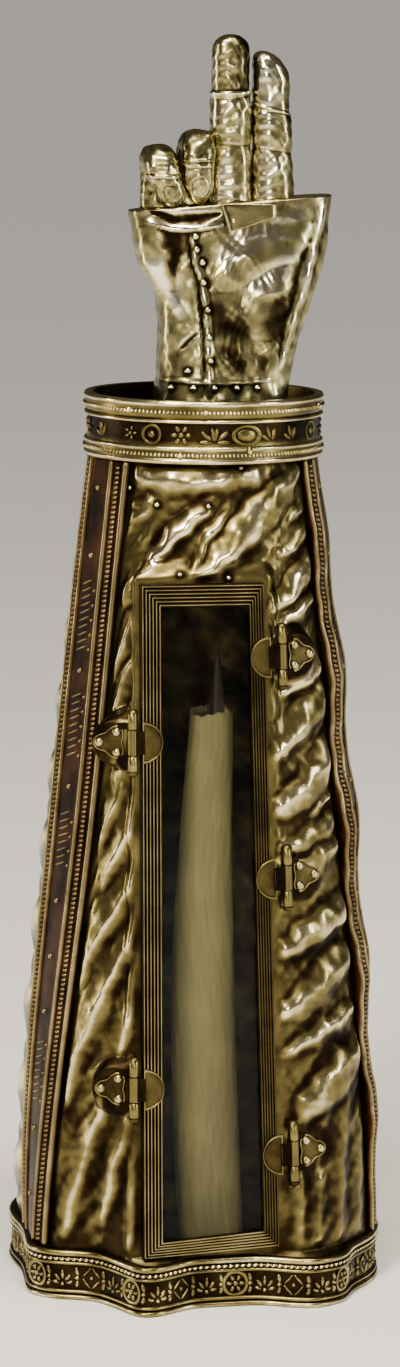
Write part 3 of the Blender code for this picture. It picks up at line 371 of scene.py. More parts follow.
def fold_field(across, down, folds, roundness=2.0, steepness=1.15):
    """Relief of named folds at picture places, in metres.

    The height of a fold is (1 - s^roundness)^steepness, with s the distance from the crest line
    as a share of the fold's own reach on that side: a flattened parabola at a roundness of 2, a
    keen crest at 1. Height and reach swell from the ends to the middle as a sine's root. Where
    folds overlap the higher one shows.
    """
    height = np.zeros_like(across)
    for above, below, rise, bends in folds.values():
        path = np.array(bends, float)
        steps = np.diff(path, axis=0)
        lengths = np.hypot(steps[:, 0], steps[:, 1])
        starts = np.concatenate(([0.0], np.cumsum(lengths)))
        nearest = np.full_like(across, 1e9)
        along = np.zeros_like(across)
        side = np.zeros_like(across)
        for k, length in enumerate(lengths):
            right, down_by = steps[k] / length
            x, y = across - path[k, 0], down - path[k, 1]
            run = np.clip(x * right + y * down_by, 0.0, length)
            off_x, off_y = x - right * run, y - down_by * run
            distance = np.hypot(off_x, off_y)
            nearer = distance < nearest
            nearest = np.where(nearer, distance, nearest)
            along = np.where(nearer, (starts[k] + run) / starts[-1], along)
            side = np.where(nearer, right * off_y - down_by * off_x, side)
        swell = 0.30 + 0.70 * np.sin(np.pi * np.clip(along, 0.0, 1.0)) ** 0.5
        reach = np.where(side > 0.0, above, below) * swell
        share = np.clip(nearest / reach, 0.0, 1.0)
        raised = MILLIMETRE * rise * swell * (1.0 - share ** roundness) ** steepness
        height = np.maximum(height, raised)
    return height


# Form of the sleeve, as the CAD part has it

def oval_radius(angle, half_width, half_depth, squareness):
    """Distance from the axis to a superellipse, in the direction of an angle from -Y."""
    across = np.abs(np.sin(angle) / half_width) ** squareness
    deep = np.abs(np.cos(angle) / half_depth) ** squareness
    return (across + deep) ** (-1.0 / squareness)


def taper(z):
    """Share of the way from base band to collar, eased so that the sleeve swells below."""
    return np.clip((z - BASE_HEIGHT) / (COLLAR_BOTTOM - BASE_HEIGHT), 0.0, 1.0) ** TAPER_POWER


def door_share(z):
    """Share of the way from the door's sill to its head, at a height."""
    return (z - DOOR_SILL_LEFT) / (DOOR_HEAD - DOOR_SILL_LEFT)


def door_edges(z):
    """Left and right outer edge of the door at a height, as distances to the right."""
    share = door_share(z)
    left = mix(DOOR_LEFT_BOTTOM, DOOR_LEFT_TOP, share)
    return left, mix(DOOR_RIGHT_BOTTOM, DOOR_RIGHT_TOP, share)


def seat_depth(z):
    """How far in front of the axis the door's flat seat stands at a height."""
    return mix(SEAT_DEPTH_HEM, SEAT_DEPTH_HEAD, door_share(z))


def door_at(z):
    """The door's left edge, right edge and seat depth at a height held between its sill and head."""
    level = np.clip(z, DOOR_SILL_LEFT, DOOR_HEAD)
    return *door_edges(level), seat_depth(level)


def seat_share(angle, z):
    """1 on the door's seat, falling to 0 past its edges and above its head.

    The angle is held at 1.35 radians, before its tangent runs off, and the sides and the back,
    where the cosine is small, count 0.
    """
    across = seat_depth(z) * np.tan(np.clip(angle, -1.35, 1.35))
    left, right = door_edges(np.minimum(z, DOOR_HEAD))
    beside = np.maximum(np.maximum(left - SEAT_MARGIN - across, across - right - SEAT_MARGIN), 0.0)
    above = np.maximum(z - DOOR_HEAD - SEAT_MARGIN, 0.0)
    share = 1.0 - smooth(np.hypot(beside, above) / SEAT_BLEND)
    return np.where(np.cos(angle) < 0.2, 0.0, share)


def bare_radius(angle, z):
    """Plan radius of the bare sheet: tapering oval, flat door seat, and a hem that waves further out.

    Width, depth and squareness of the oval run from hem to top by the taper. A wave adds a bell
    curve of the angle, which dies away with the square of the height. On the seat the radius is
    the seat's depth over the cosine of the angle.
    """
    turn = (angle + np.pi) % (2.0 * np.pi) - np.pi
    z = np.asarray(z, float)
    share = taper(z)
    oval = oval_radius(turn, mix(HEM_HALF_WIDTH, TOP_HALF_WIDTH, share),
                       mix(HEM_HALF_DEPTH, TOP_HALF_DEPTH, share),
                       mix(HEM_SQUARENESS, TOP_SQUARENESS, share))
    wave = np.zeros(np.broadcast(turn, z).shape)
    for centre, width, height in HEM_WAVES:
        away = (np.degrees(turn) - centre + 180.0) % 360.0 - 180.0
        wave = wave + height * bell(away, width)
    wave *= np.maximum(0.0, 1.0 - np.maximum(z - BASE_HEIGHT, 0.0) / HEM_WAVE_RISE) ** 2
    radius = oval + np.minimum(wave, wave * HEM_WAVE_ABOVE_LEDGE)
    level = np.maximum(z, DOOR_SILL_LEFT)
    seat = seat_depth(level) / np.maximum(np.cos(turn), 0.2)
    radius = mix(radius, seat, seat_share(turn, level))
    above_ledge = np.clip((z - BASE_HEIGHT + HEM_LEDGE) / HEM_LEDGE, 0.0, 1.0)
    return mix(np.maximum(oval + wave, radius), radius, above_ledge)


def band_inner(z):
    """Angle of the side band's front edge at a height."""
    share = smooth((z - BASE_HEIGHT) / BAND_ANGLE_SETTLES)
    return np.radians(mix(BAND_INNER_ANGLE_HEM, BAND_INNER_ANGLE_TOP, share))


def band_outer(z):
    """Angle of the side band's rear edge at a height."""
    return band_inner(z) + BAND_WIDTH / mix(HEM_HALF_WIDTH, TOP_HALF_WIDTH, taper(z))


def point_on(angle, radius, z):
    """World point at an angle from -Y, a radius and a height."""
    angle, radius, z = np.broadcast_arrays(angle, radius, z)
    return np.stack((radius * np.sin(angle), -radius * np.cos(angle), z), axis=-1)


# Meshes: a body is (points, quads, triangles, hollow), with hollow 0 on crests and 1 in depths, and
# painted shade and highlights added to it in places. These are the hollow values of a sheet's inner
# side, dark as tarnish and as painted shade inside the case, of a band's hidden back and of a CAD node
# that stays
INNER_WALL_HOLLOW = 0.74
BACK_HOLLOW = 0.8
CAD_NODE_HOLLOW = 0.75


def outward(points, quads, triangles, hollow):
    """The same body with its faces turned outwards, by the sign of its volume."""
    fans = [quads[:, [0, 1, 2]], quads[:, [0, 2, 3]], triangles]
    corners = points[np.concatenate([f for f in fans if len(f)])]
    volume = np.einsum("ij,ij->", corners[:, 0], np.cross(corners[:, 1], corners[:, 2]))
    if volume < 0.0:
        quads, triangles = quads[:, [0, 3, 2, 1]], triangles[:, ::-1]
    return points, quads, triangles, hollow


def wrap_grid(rows, columns, rows_closed=False, columns_closed=False):
    """Quads of a grid of points numbered row by row, closed in either direction."""
    r = np.arange(rows if rows_closed else rows - 1)[:, None]
    c = np.arange(columns if columns_closed else columns - 1)[None, :]
    below, beyond = (r + 1) % rows, (c + 1) % columns
    quads = np.stack((r * columns + c, r * columns + beyond, below * columns + beyond,
                      below * columns + c), axis=-1)
    return quads.reshape(-1, 4)


def loft(sections, hollow, closed=False):
    """A body through rings of points, shaped (rings, columns, 3), with fans over its two ends."""
    rings, columns = sections.shape[:2]
    points = sections.reshape(-1, 3)
    shade = np.broadcast_to(np.asarray(hollow, float), (rings, columns)).ravel()
    quads = wrap_grid(rings, columns, closed, True)
    if closed:
        return outward(points, quads, np.zeros((0, 3), int), shade)
    first, last = len(points), len(points) + 1
    points = np.concatenate((points, sections[0].mean(0)[None], sections[-1].mean(0)[None]))
    shade = np.concatenate((shade, (shade[:columns].mean(), shade[-columns:].mean())))
    ring = np.arange(columns)
    onward = (ring + 1) % columns
    far = (rings - 1) * columns
    caps = [np.stack((onward, ring, np.full(columns, first)), -1),
            np.stack((far + ring, far + onward, np.full(columns, last)), -1)]
    return outward(points, quads, np.concatenate(caps), shade)


def shell(outer, inner, hollow, keep=None):
    """A sheet with thickness between two grids, with a border round every edge and opening."""
    rows, columns = outer.shape[:2]
    quads = wrap_grid(rows, columns)
    if keep is not None:
        quads = quads[keep.ravel()]
    count = rows * columns
    edges = np.concatenate([quads[:, [k, (k + 1) % 4]] for k in range(4)])
    order = np.sort(edges, axis=1)
    _, first, uses = np.unique(order[:, 0] * count + order[:, 1], return_index=True, return_counts=True)
    border = edges[first[uses == 1]]
    rim = np.stack((border[:, 1], border[:, 0], border[:, 0] + count, border[:, 1] + count), axis=-1)
    faces = np.concatenate((quads, quads[:, ::-1] + count, rim))
    points = np.concatenate((outer.reshape(-1, 3), inner.reshape(-1, 3)))
    shade = np.concatenate((hollow.ravel(), np.full(count, INNER_WALL_HOLLOW)))
    used = np.unique(faces)
    number = np.zeros(2 * count, int)
    number[used] = np.arange(len(used))
    return outward(points[used], number[faces], np.zeros((0, 3), int), shade[used])


def join(bodies):
    """Several bodies as one."""
    points, quads, triangles, shades, start = [], [], [], [], 0
    for body in bodies:
        points.append(body[0])
        quads.append(body[1] + start)
        triangles.append(body[2] + start)
        shades.append(body[3])
        start += len(body[0])
    return tuple(np.concatenate(part) for part in (points, quads, triangles, shades))


def turned(radius, level, sides):
    """Rings of points round Z, one for each pair of a radius and a level."""
    turns = circle(sides)
    return np.stack((radius[:, None] * np.cos(turns), radius[:, None] * np.sin(turns),
                     np.repeat(level[:, None], sides, 1)), axis=-1)


def dome(sides, steps):
    """Unit dome of radius 1 and height 1 on a short foot below its seat: a quarter circle turned."""
    turns = np.linspace(0.0, 0.5 * np.pi * (1.0 - 0.35 / steps), steps)
    radius = np.array([1.0] + [math.cos(t) for t in turns])
    level = np.array([-0.5] + [math.sin(t) for t in turns])
    low, high = level.min(), level.max()
    return loft(turned(radius, level, sides), 0.75 - 0.6 * (level[:, None] - low) / (high - low))


def torus(thickness, sides, around):
    """Unit ring of radius 1 round Z, of a thickness given as a share of that radius."""
    turns, tube = circle(sides), circle(around)
    radius = 1.0 + thickness * np.cos(tube)[None, :]
    rings = np.stack((radius * np.cos(turns)[:, None], radius * np.sin(turns)[:, None],
                      np.broadcast_to(thickness * np.sin(tube), (sides, around))), axis=-1)
    shade = np.broadcast_to(0.5 - 0.35 * np.sin(tube), (sides, around))
    return loft(rings, shade, closed=True)


def place(shape, origins, rights, normals, sizes, turns=0.0):
    """Copies of a unit shape, each at its origin, with X along right and Z along normal.

    Each vertex is the origin plus right, across and normal times its coordinates and the
    copy's size in each direction, after a turn about the normal in degrees.
    """
    origins = np.atleast_2d(origins)
    count = len(origins)
    normals = unit(np.broadcast_to(normals, (count, 3)))
    rights = np.broadcast_to(rights, (count, 3))
    rights = unit(rights - normals * np.sum(rights * normals, axis=1, keepdims=True))
    across = np.cross(normals, rights)
    angle = np.radians(np.broadcast_to(turns, (count,)))[:, None]
    along = rights * np.cos(angle) + across * np.sin(angle)
    beside = across * np.cos(angle) - rights * np.sin(angle)
    sizes = np.broadcast_to(np.asarray(sizes, float), (count, 3))
    local, quads, triangles, shade = shape
    points = (origins[:, None] + along[:, None] * (local[None, :, :1] * sizes[:, None, :1])
              + beside[:, None] * (local[None, :, 1:2] * sizes[:, None, 1:2])
              + normals[:, None] * (local[None, :, 2:] * sizes[:, None, 2:]))
    shift = (np.arange(count) * len(local))[:, None, None]
    return (points.reshape(-1, 3), (quads[None] + shift).reshape(-1, 4),
            (triangles[None] + shift).reshape(-1, 3), np.tile(shade, count))


def frames_on(surface, u, v):
    """Origins, rights (along u) and normals away from the axis, of a surface at places u, v."""
    step = 1e-4
    u, v = np.broadcast_arrays(np.atleast_1d(np.asarray(u, float)), np.asarray(v, float))
    right = unit(surface(u + step, v) - surface(u - step, v))
    up = unit(surface(u, v + step) - surface(u, v - step))
    origins, normals = surface(u, v), unit(np.cross(right, up))
    facing = np.sign(np.sum(origins[:, :2] * normals[:, :2], axis=1, keepdims=True))
    return origins, right, normals * facing


def hammered(points, size):
    """Uneven dents of about a size, from -1 to 1.

    Twice, two waves warped by a slow one are multiplied across each other; the products are added,
    the coarser one with the greater weight.
    """
    x, y, z = (2.0 * np.pi / size) * np.moveaxis(points, -1, 0)
    slow = np.sin(0.31 * x + 0.27 * z + 0.4) + np.sin(0.23 * z - 0.37 * x + 0.29 * y)
    first = np.sin(0.83 * x + 0.41 * z + 1.9 * slow) * np.sin(0.92 * z - 0.35 * x + 0.61 * y + 1.3 * slow)
    second = np.sin(1.27 * x - 0.77 * z + 0.9 * y + 1.1 * slow) * np.sin(1.13 * z + 0.52 * x - 1.7 * slow)
    return 0.6 * first + 0.4 * second


def crumpled(points, depth, broad, fine):
    """Broad dents, and fine ones in patches where a slow wave of both directions is high.

    The fine dents are a third as deep as the broad ones; a patch is about 25 mm wide.
    """
    x, y, z = (2.0 * np.pi / 0.050) * np.moveaxis(points, -1, 0)
    wander = 1.3 * np.sin(0.7 * z + 0.4 * y)
    patch = smooth(0.75 + np.sin(0.9 * x + 0.6 * z + wander) * np.sin(0.8 * z - 0.7 * x + 2.0))
    return depth * (hammered(points, broad) + 0.34 * patch * hammered(points[..., [1, 2, 0]], fine))


def blurred(values, passes, closed=False):
    """Values averaged with their grid neighbours, a number of times."""
    for _ in range(passes):
        padded = np.pad(values, ((1, 1), (0, 0)), mode="edge")
        padded = np.pad(padded, ((0, 0), (1, 1)), mode="wrap" if closed else "edge")
        values = (padded[:-2, 1:-1] + padded[2:, 1:-1] + padded[1:-1, :-2] + padded[1:-1, 2:]
                  + 2.0 * values) / 6.0
    return values


def hollows(relief, passes, depth):
    """How sunk each point of a relief that closes on itself lies: 0.5 level, 0 proud, 1 deep."""
    return np.clip(0.5 + (blurred(relief, passes, closed=True) - relief) / depth, 0.0, 1.0)


def fold_hollows(relief):
    """How sunk each point of a folded sheet lies, against near and against far surroundings together.

    Lying 1.7 mm below the near average counts 1, and so does a near average 6 mm below the far one.
    The near term stands for tarnish in the folds' hollows; the far term darkens whole broad valleys
    as painted shade.
    """
    near = blurred(relief, 7)
    far = blurred(near, 60)
    return np.clip(0.57 + (near - relief) / 0.0017 + (far - near) / 0.0060, 0.0, 1.0)


def shaded_round_rivets(points, shade, spots, reach=0.0024):
    """Hollow values raised round some spots, by a bell curve of the distance from the nearest: painted shade
    round rivet heads.
    """
    away = np.linalg.norm(points[..., None, :] - spots, axis=-1).min(axis=-1)
    return np.clip(shade + 0.75 * bell(away, reach), 0.0, 1.0)


def add_object(name, data):
    """A new object of the scene that shows some data."""
    made = bpy.data.objects.new(name, data)
    bpy.context.scene.collection.objects.link(made)
    return made


def put(name, body, finish, node_names, rides="case", sharp=None):
    """Make a body a mesh object of the scene that stands for CAD nodes and rides on their body."""
    points, quads, triangles, shade = body
    mesh = bpy.data.meshes.new(name)
    corners = np.concatenate((quads.ravel(), triangles.ravel())).astype(np.int32)
    starts = np.concatenate((np.arange(len(quads)) * 4,
                             4 * len(quads) + np.arange(len(triangles)) * 3)).astype(np.int32)
    mesh.vertices.add(len(points))
    mesh.vertices.foreach_set("co", points.astype(np.float32).ravel())
    mesh.loops.add(len(corners))
    mesh.loops.foreach_set("vertex_index", corners)
    mesh.polygons.add(len(starts))
    mesh.polygons.foreach_set("loop_start", starts)
    mesh.update(calc_edges=True)
    mesh.attributes.new("hollow", "FLOAT", "POINT").data.foreach_set("value", shade.astype(np.float32))
    mesh.shade_smooth()
    if sharp is not None:
        mesh.set_sharp_from_angle(angle=math.radians(sharp))
    mesh.materials.append(bpy.data.materials[finish])
    made = add_object(name, mesh)
    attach(made, rides)
    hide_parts(*node_names)


# Placings on the door and beside it, as the CAD part has them

def door_lean():
    """How far the door leans back, in radians."""
    return math.atan2(SEAT_DEPTH_HEM - SEAT_DEPTH_HEAD, DOOR_HEAD - DOOR_SILL_LEFT)


def door_placing():
    """Matrix from the door's plane to the world: across, out of the seat, and up its lean."""
    foot = Vector((0.0, -seat_depth(DOOR_SILL_LEFT), DOOR_SILL_LEFT))
    return Matrix.Translation(foot) @ Matrix.Rotation(-door_lean(), 4, "X")


def door_corners(lap):
    """The door's four corners, moved inwards by a share of its members: 0 outside, 1 inside."""
    length = (DOOR_HEAD - DOOR_SILL_LEFT) / math.cos(door_lean())
    left, right = DOOR_LEFT_MEMBER * lap, DOOR_RIGHT_MEMBER * lap
    head, sill = length - DOOR_HEAD_RAIL * lap, DOOR_SILL_RAIL * lap
    drift_left = (DOOR_LEFT_TOP - DOOR_LEFT_BOTTOM) / length
    drift_right = (DOOR_RIGHT_TOP - DOOR_RIGHT_BOTTOM) / length
    low_right = sill + DOOR_SILL_RISE
    return (
        (DOOR_LEFT_BOTTOM + left + drift_left * sill, sill),
        (DOOR_RIGHT_BOTTOM - right + drift_right * low_right, low_right),
        (DOOR_RIGHT_BOTTOM - right + drift_right * head, head),
        (DOOR_LEFT_BOTTOM + left + drift_left * head, head),
    )


def axis_placing(side, height):
    """Matrix on the hinge line (side 1) or the catch line (side -1) at a height: right, back, up."""
    placing = door_placing()
    corners = door_corners(0.0)
    low, high = (corners[1], corners[2]) if side > 0 else (corners[0], corners[3])
    offset = HINGE_OFFSET if side > 0 else -CATCH_OFFSET
    start = placing @ Vector((low[0] + offset, -AXIS_LEVEL, low[1]))
    end = placing @ Vector((high[0] + offset, -AXIS_LEVEL, high[1]))
    up = (end - start).normalized()
    back = (placing.to_3x3() @ Vector((0.0, 1.0, 0.0))).normalized()
    right = back.cross(up).normalized()
    middle = start + up * ((height - start.z) / up.z)
    return Matrix.Translation(middle) @ Matrix((right, back, up)).transposed().to_4x4()


def plate_placing(side, height):
    """Matrix at the middle of a sleeve-side plate, lying back along the flank: right, back, up."""
    turn = Matrix.Rotation(side * PLATE_TURN, 4, "Z")
    shift = Matrix.Translation(Vector((side * PLATE_REACH, PLATE_BACK, 0.0)))
    return axis_placing(side, height) @ turn @ shift


def fittings():
    """Side, label, kind and height of every hinge and catch."""
    listed = [(1.0, label, "hinge", height) for label, height in HINGE_HEIGHTS.items()]
    return listed + [(-1.0, label, "catch", height) for label, height in CATCH_HEIGHTS.items()]


def clear_of_fittings(angle, z, radius, relief):
    """Relief pressed flat under the fittings' plates, and radius drawn in behind their barrels.

    Under a plate the relief is what reaches the plate's back along the direction from the axis,
    blended in over the pad's edge. Where the sheet would stand inside the groove, a circle round
    the pin, the radius is drawn in by as much.
    """
    direction = point_on(angle, 1.0, 0.0)
    left, right, depth = door_at(z)
    edge = np.maximum(np.arctan2(left, depth) - angle, angle - np.arctan2(right, depth)) * radius
    for side, _, _, height in fittings():
        placing = np.array(plate_placing(side, height))
        normal, centre = placing[:3, 1], placing[:3, 3]
        facing = direction @ normal
        faces = facing < -0.2
        to_plate = (normal @ centre - normal[2] * z) / np.where(faces, facing, -1.0)
        away = np.linalg.norm(point_on(angle, to_plate, z) - centre, axis=-1)
        share = (1.0 - smooth((away - PLATE_PAD) / PLATE_PAD_BLEND)) * smooth(edge / PLATE_PAD_BLEND)
        share = np.where(faces, share, 0.0)
        relief = mix(relief, np.maximum(to_plate - PLATE_SEAT_GAP - radius, 0.0), share)
    outer = radius + relief
    for side, _, _, height in fittings():
        placing = np.array(axis_placing(side, height))
        local = (point_on(angle, outer, z) - placing[:3, 3]) @ placing[:3, :3]
        groove = PIN_CAP_RADIUS + 2.0 * PIN_CLEARANCE
        half = BARREL_LENGTH / 2.0 + PIN_CAP_HEIGHT + 2.0 * PIN_CLEARANCE
        inside = (np.abs(local[..., 0]) < groove) & (np.abs(local[..., 2]) < half) & (np.cos(angle) > 0.3)
        behind = np.sqrt(np.maximum(groove ** 2 - local[..., 0] ** 2, 0.0))
        need = np.where(inside, np.maximum(behind - local[..., 1], 0.0), 0.0)
        outer = outer - need / np.maximum(-(direction @ placing[:3, 1]), 0.3)
    return outer, relief


# Sleeve

def stretches(marks, counts):
    """Columns between marks, each stretch evenly divided; marks are arrays by row."""
    parts = []
    for k, count in enumerate(counts):
        share = np.arange(count)[None, :] / count
        parts.append(mix(marks[k][:, None], marks[k + 1][:, None], share))
    return np.concatenate(parts + [marks[-1][:, None]], axis=1)


# Relief of the sleeve in metres: the front's faint ripple and its dents' sizes, the back's two families
# of folds, how far the relief takes to rise from what it meets, and how far it goes on under the collar
RIPPLE_HEIGHT = 0.0008
RIPPLE_PITCH = 0.0130
RIPPLE_BREAK = 0.031
RIPPLE_COVER = 0.002
SLEEVE_DENTS = (0.014, 0.006)
BACK_BROAD_HEIGHT = 0.0034
BACK_BROAD_PITCH = 0.0420
BACK_FINE_HEIGHT = 0.0013
BACK_FINE_PITCH = 0.0140
FRONT_BAND_FADE = 0.0050
DOOR_FADE = 0.0040
FRONT_END_FADES = (0.0060, 0.0050)
BACK_BAND_FADE = 0.0090
BACK_END_FADES = (0.0080, 0.0060)
UNDER_COLLAR = 0.0010


def front_relief(angle, z, radius, fold_height, hammer_depth):
    """Embossed height of the front drapery: named folds and pleats over a faint ripple and dents.

    The picture places are swayed by a few pixels, so that no fold runs dead straight. The ripple
    is a product of two crests and fades where a fold stands. The relief sinks to nothing at the
    door's seat, at the bands and at both ends.
    """
    across, down = in_picture(point_on(angle, radius, z))
    drift = 1.6 * np.sin(down / 7.0 + across / 11.0) + 1.1 * np.sin(across / 5.0 - down / 9.0 + 1.0)
    named = fold_field(across + drift, down + 0.8 * drift, FRONT_FOLDS)
    pleats = fold_field(across + 0.4 * drift, down + 0.3 * drift, FRONT_PLEATS, 1.0, 1.35)
    named = np.maximum(named, pleats)
    along = radius * angle
    ripple = RIPPLE_HEIGHT * crest((z - 0.9 * along) / RIPPLE_PITCH) * crest(along / RIPPLE_BREAK + 0.3)
    dents = crumpled(point_on(angle, radius, z), hammer_depth * 0.7, *SLEEVE_DENTS)
    relief = fold_height * (named + ripple * (1.0 - smooth(named / RIPPLE_COVER))) + dents
    left, right, depth = door_at(z)
    beside = np.maximum(np.arctan2(left - SEAT_MARGIN, depth) - angle,
                        angle - np.arctan2(right + SEAT_MARGIN, depth)) * radius
    from_door = np.maximum(beside, z - DOOR_HEAD - SEAT_MARGIN)
    from_band = (band_inner(z) - np.abs(angle)) * radius
    edge = smooth(from_band / FRONT_BAND_FADE) * smooth(from_door / DOOR_FADE)
    foot_fade, top_fade = FRONT_END_FADES
    ends = smooth((z - BASE_HEIGHT) / foot_fade) * smooth((COLLAR_BOTTOM + UNDER_COLLAR - z) / top_fade)
    return relief * edge * ends


def sleeve_rows(counts):
    """Heights of the skins' rows, and the numbers of the rows at the opening's two ends.

    There is a row at each side of the ledge and at each end of the opening.
    """
    cos_lean = math.cos(door_lean())
    low = DOOR_SILL_LEFT + (DOOR_SILL_RAIL - OPENING_LAP) * cos_lean
    high = DOOR_HEAD - (DOOR_HEAD_RAIL - OPENING_LAP) * cos_lean
    marks = (BASE_HEIGHT, low, high, COLLAR_BOTTOM)
    rows = [0.0, BASE_HEIGHT - HEM_LEDGE]
    for k, count in enumerate(counts):
        rows += list(mix(marks[k], marks[k + 1], np.arange(count) / count))
    return np.array(rows + [COLLAR_BOTTOM, SLEEVE_HEIGHT]), 2 + counts[0], 2 + counts[0] + counts[1]


def spots_on(grid, named_places):
    """Places, rights and normals of a front grid at named picture places."""
    across, down = in_picture(grid)
    right = unit(np.gradient(grid, axis=1))
    up = unit(np.gradient(grid, axis=0))
    normals = unit(np.cross(right, up))
    found = []
    for x, y in named_places.values():
        found.append(np.unravel_index(np.argmin((across - x) ** 2 + (down - y) ** 2), across.shape))
    rows, columns = np.array(found).T
    return grid[rows, columns], right[rows, columns], normals[rows, columns]


# Painted shade towards the hem: what it adds to the hollow values there, and how high it reaches.
# Under a plate, pressing the sheet flat by PRESS_DEPTH adds the value set just before PRESS_DEPTH, darkening
# the sheet
HEM_PAINTED_SHADE = 0.16
HEM_PAINTED_SHADE_HEIGHT = 0.2200
PRESS_DARKENING = 0.25
PRESS_DEPTH = 0.0015


def drapery_front(fold_height, hammer_depth, rivet_radius):
    """Front of the sleeve from band to band, with its window opening and painted shade towards the hem.

    Its grid has a column at each edge of the bands, the seat and the opening. The radius is the
    bare sheet's plus the relief. The hollow values come from the relief, and gain where a plate
    flattens it, and as painted shade towards the hem and round the rivets.
    """
    z, low, high = sleeve_rows((6, 262, 66))
    left, right, depth = door_at(z)
    inner = band_inner(z)
    middle = (inner + band_outer(z)) / 2.0
    marks = (
        -middle, -inner, np.arctan2(left - SEAT_MARGIN, depth),
        np.arctan2(left + DOOR_LEFT_MEMBER - OPENING_LAP, depth),
        np.arctan2(right - DOOR_RIGHT_MEMBER + OPENING_LAP, depth),
        np.arctan2(right + SEAT_MARGIN, depth), inner, middle,
    )
    counts = (4, 46, 4, 44, 4, 66, 4)
    angle = stretches(marks, counts)
    z = np.broadcast_to(z[:, None], angle.shape)
    radius = bare_radius(angle, z)
    relief = blurred(front_relief(angle, z, radius, fold_height, hammer_depth), 2)
    outer_radius, pressed = clear_of_fittings(angle, z, radius, relief)
    flattened = PRESS_DARKENING * smooth(np.abs(pressed - relief) / PRESS_DEPTH)
    # Painted shade, deepest at the floor and fading out higher up the sleeve
    hem_shade = HEM_PAINTED_SHADE * (1.0 - smooth(z / HEM_PAINTED_SHADE_HEIGHT))
    shade = np.clip(fold_hollows(relief) + flattened + hem_shade, 0.0, 1.0)
    outer = point_on(angle, outer_radius, z)
    inside = point_on(angle, outer_radius - SKIN_SHEET, z)
    keep = np.ones((angle.shape[0] - 1, angle.shape[1] - 1), bool)
    first = sum(counts[:3])
    keep[low:high, first:first + counts[3]] = False
    origins, rights, normals = spots_on(outer, DRAPERY_RIVETS)
    # Painted shade round the rivets
    sheet = shell(outer, inside, shaded_round_rivets(outer, shade, origins), keep)
    rivets = place(RIVET, origins, rights, normals, (rivet_radius, rivet_radius, rivet_radius * 0.7))
    return join((sheet, rivets))


def back_relief(angle, z, radius, fold_height):
    """Embossed height of the back drapery: broad diagonal cosine folds over a finer family.

    The higher of the two shows. Two slow sines sway both, and the relief sinks to nothing at the
    bands and at both ends.
    """
    along = radius * (angle - np.pi)
    sway = 0.006 * np.sin(along / 0.021) + 0.004 * np.sin(z / 0.047)
    broad = BACK_BROAD_HEIGHT * crest((z - 0.80 * along + sway) / BACK_BROAD_PITCH) ** 1.3
    fine = BACK_FINE_HEIGHT * crest((z - 0.95 * along + 1.6 * sway) / BACK_FINE_PITCH)
    from_band = (np.pi - np.abs(angle - np.pi) - band_outer(z)) * radius
    foot_fade, top_fade = BACK_END_FADES
    ends = smooth((z - BASE_HEIGHT) / foot_fade) * smooth((COLLAR_BOTTOM - z) / top_fade)
    return fold_height * np.maximum(broad, fine) * smooth(from_band / BACK_BAND_FADE) * ends


def drapery_back(fold_height):
    """Back of the sleeve, from the middle of one side band round to the other."""
    z, _, _ = sleeve_rows((4, 130, 26))
    outer_angle = band_outer(z)
    middle = (band_inner(z) + outer_angle) / 2.0
    marks = (middle, outer_angle, 2.0 * np.pi - outer_angle, 2.0 * np.pi - middle)
    angle = stretches(marks, (4, 116, 4))
    z = np.broadcast_to(z[:, None], angle.shape)
    radius = bare_radius(angle, z)
    relief = back_relief(angle, z, radius, fold_height)
    outer = point_on(angle, radius + relief, z)
    inside = point_on(angle, radius + relief - SKIN_SHEET, z)
    return shell(outer, inside, fold_hollows(relief * 0.75))


# Ornaments: items are (unit shape, right, up, (size along, size across, height), turn in degrees),
# and their bare numbers are shares of the ornament's own size. Dullness adds to the hollow values

# The foot's dullness is partly tarnish and partly painted shade, darker towards the bottom
FOOT_DULLNESS_AND_SHADE = 0.26
COLLAR_DULLNESS = 0.36
BAND_BEAD_DULLNESS = 0.12
FINE_DULLNESS = 0.10
BEAD = dome(8, 3)
RIVET = dome(10, 3)
STUD = dome(12, 4)
HOOP = torus(0.16, 20, 6)
LOZENGE_BAR_WIDTH = 0.00055
LOZENGE_BOSS = 0.0011


def ornament(surface, u, v, items, dullness=0.0):
    """The same group of small shapes at each place u, v of a surface, tarnished by a dullness."""
    origins, rights, normals = frames_on(surface, u, v)
    across = np.cross(normals, rights)
    placed = [place(shape, origins + rights * right + across * up, rights, normals, size, turn)
              for shape, right, up, size, turn in items]
    return [(points, quads, triangles, shade + dullness) for points, quads, triangles, shade in placed]


def centred(shape, along, across, height, turn=0.0):
    """An item in the middle of its ornament."""
    return shape, 0.0, 0.0, (along, across, height), turn


def flower(petals, radius, height):
    """Round boss with petals about it."""
    items = [centred(STUD, radius * 0.30, radius * 0.30, height * 1.3)]
    for k in range(petals):
        t = 2.0 * math.pi * k / petals
        away = radius * 0.66
        items.append((BEAD, away * math.cos(t), away * math.sin(t),
                      (radius * 0.36, radius * 0.22, height), math.degrees(t)))
    return items


def ringed_boss(radius, height):
    """A boss inside a ring."""
    return [centred(HOOP, radius, radius, height * 2.0), centred(STUD, radius * 0.42, radius * 0.42, height)]


def lozenge(half_width, half_height, height):
    """Four bars in a lozenge round a small boss."""
    slope = math.degrees(math.atan2(half_height, half_width))
    bar = (0.52 * math.hypot(half_width, half_height), LOZENGE_BAR_WIDTH, height)
    items = [centred(BEAD, LOZENGE_BOSS, LOZENGE_BOSS, height)]
    for right, up in ((1, 1), (-1, 1), (-1, -1), (1, -1)):
        items.append((BEAD, right * half_width / 2.0, up * half_height / 2.0, bar, -slope * right * up))
    return items


def leaf_spray(size, lean, height):
    """Three narrow leaves spread from one foot."""
    items = []
    for k, spread in enumerate((-38.0, 0.0, 38.0)):
        t = math.radians(90.0 + lean + spread)
        reach = size * (0.50, 0.62, 0.50)[k]
        items.append((BEAD, reach * math.cos(t), reach * math.sin(t) - size * 0.45,
                      (size * 0.46, size * 0.15, height), math.degrees(t)))
    return items


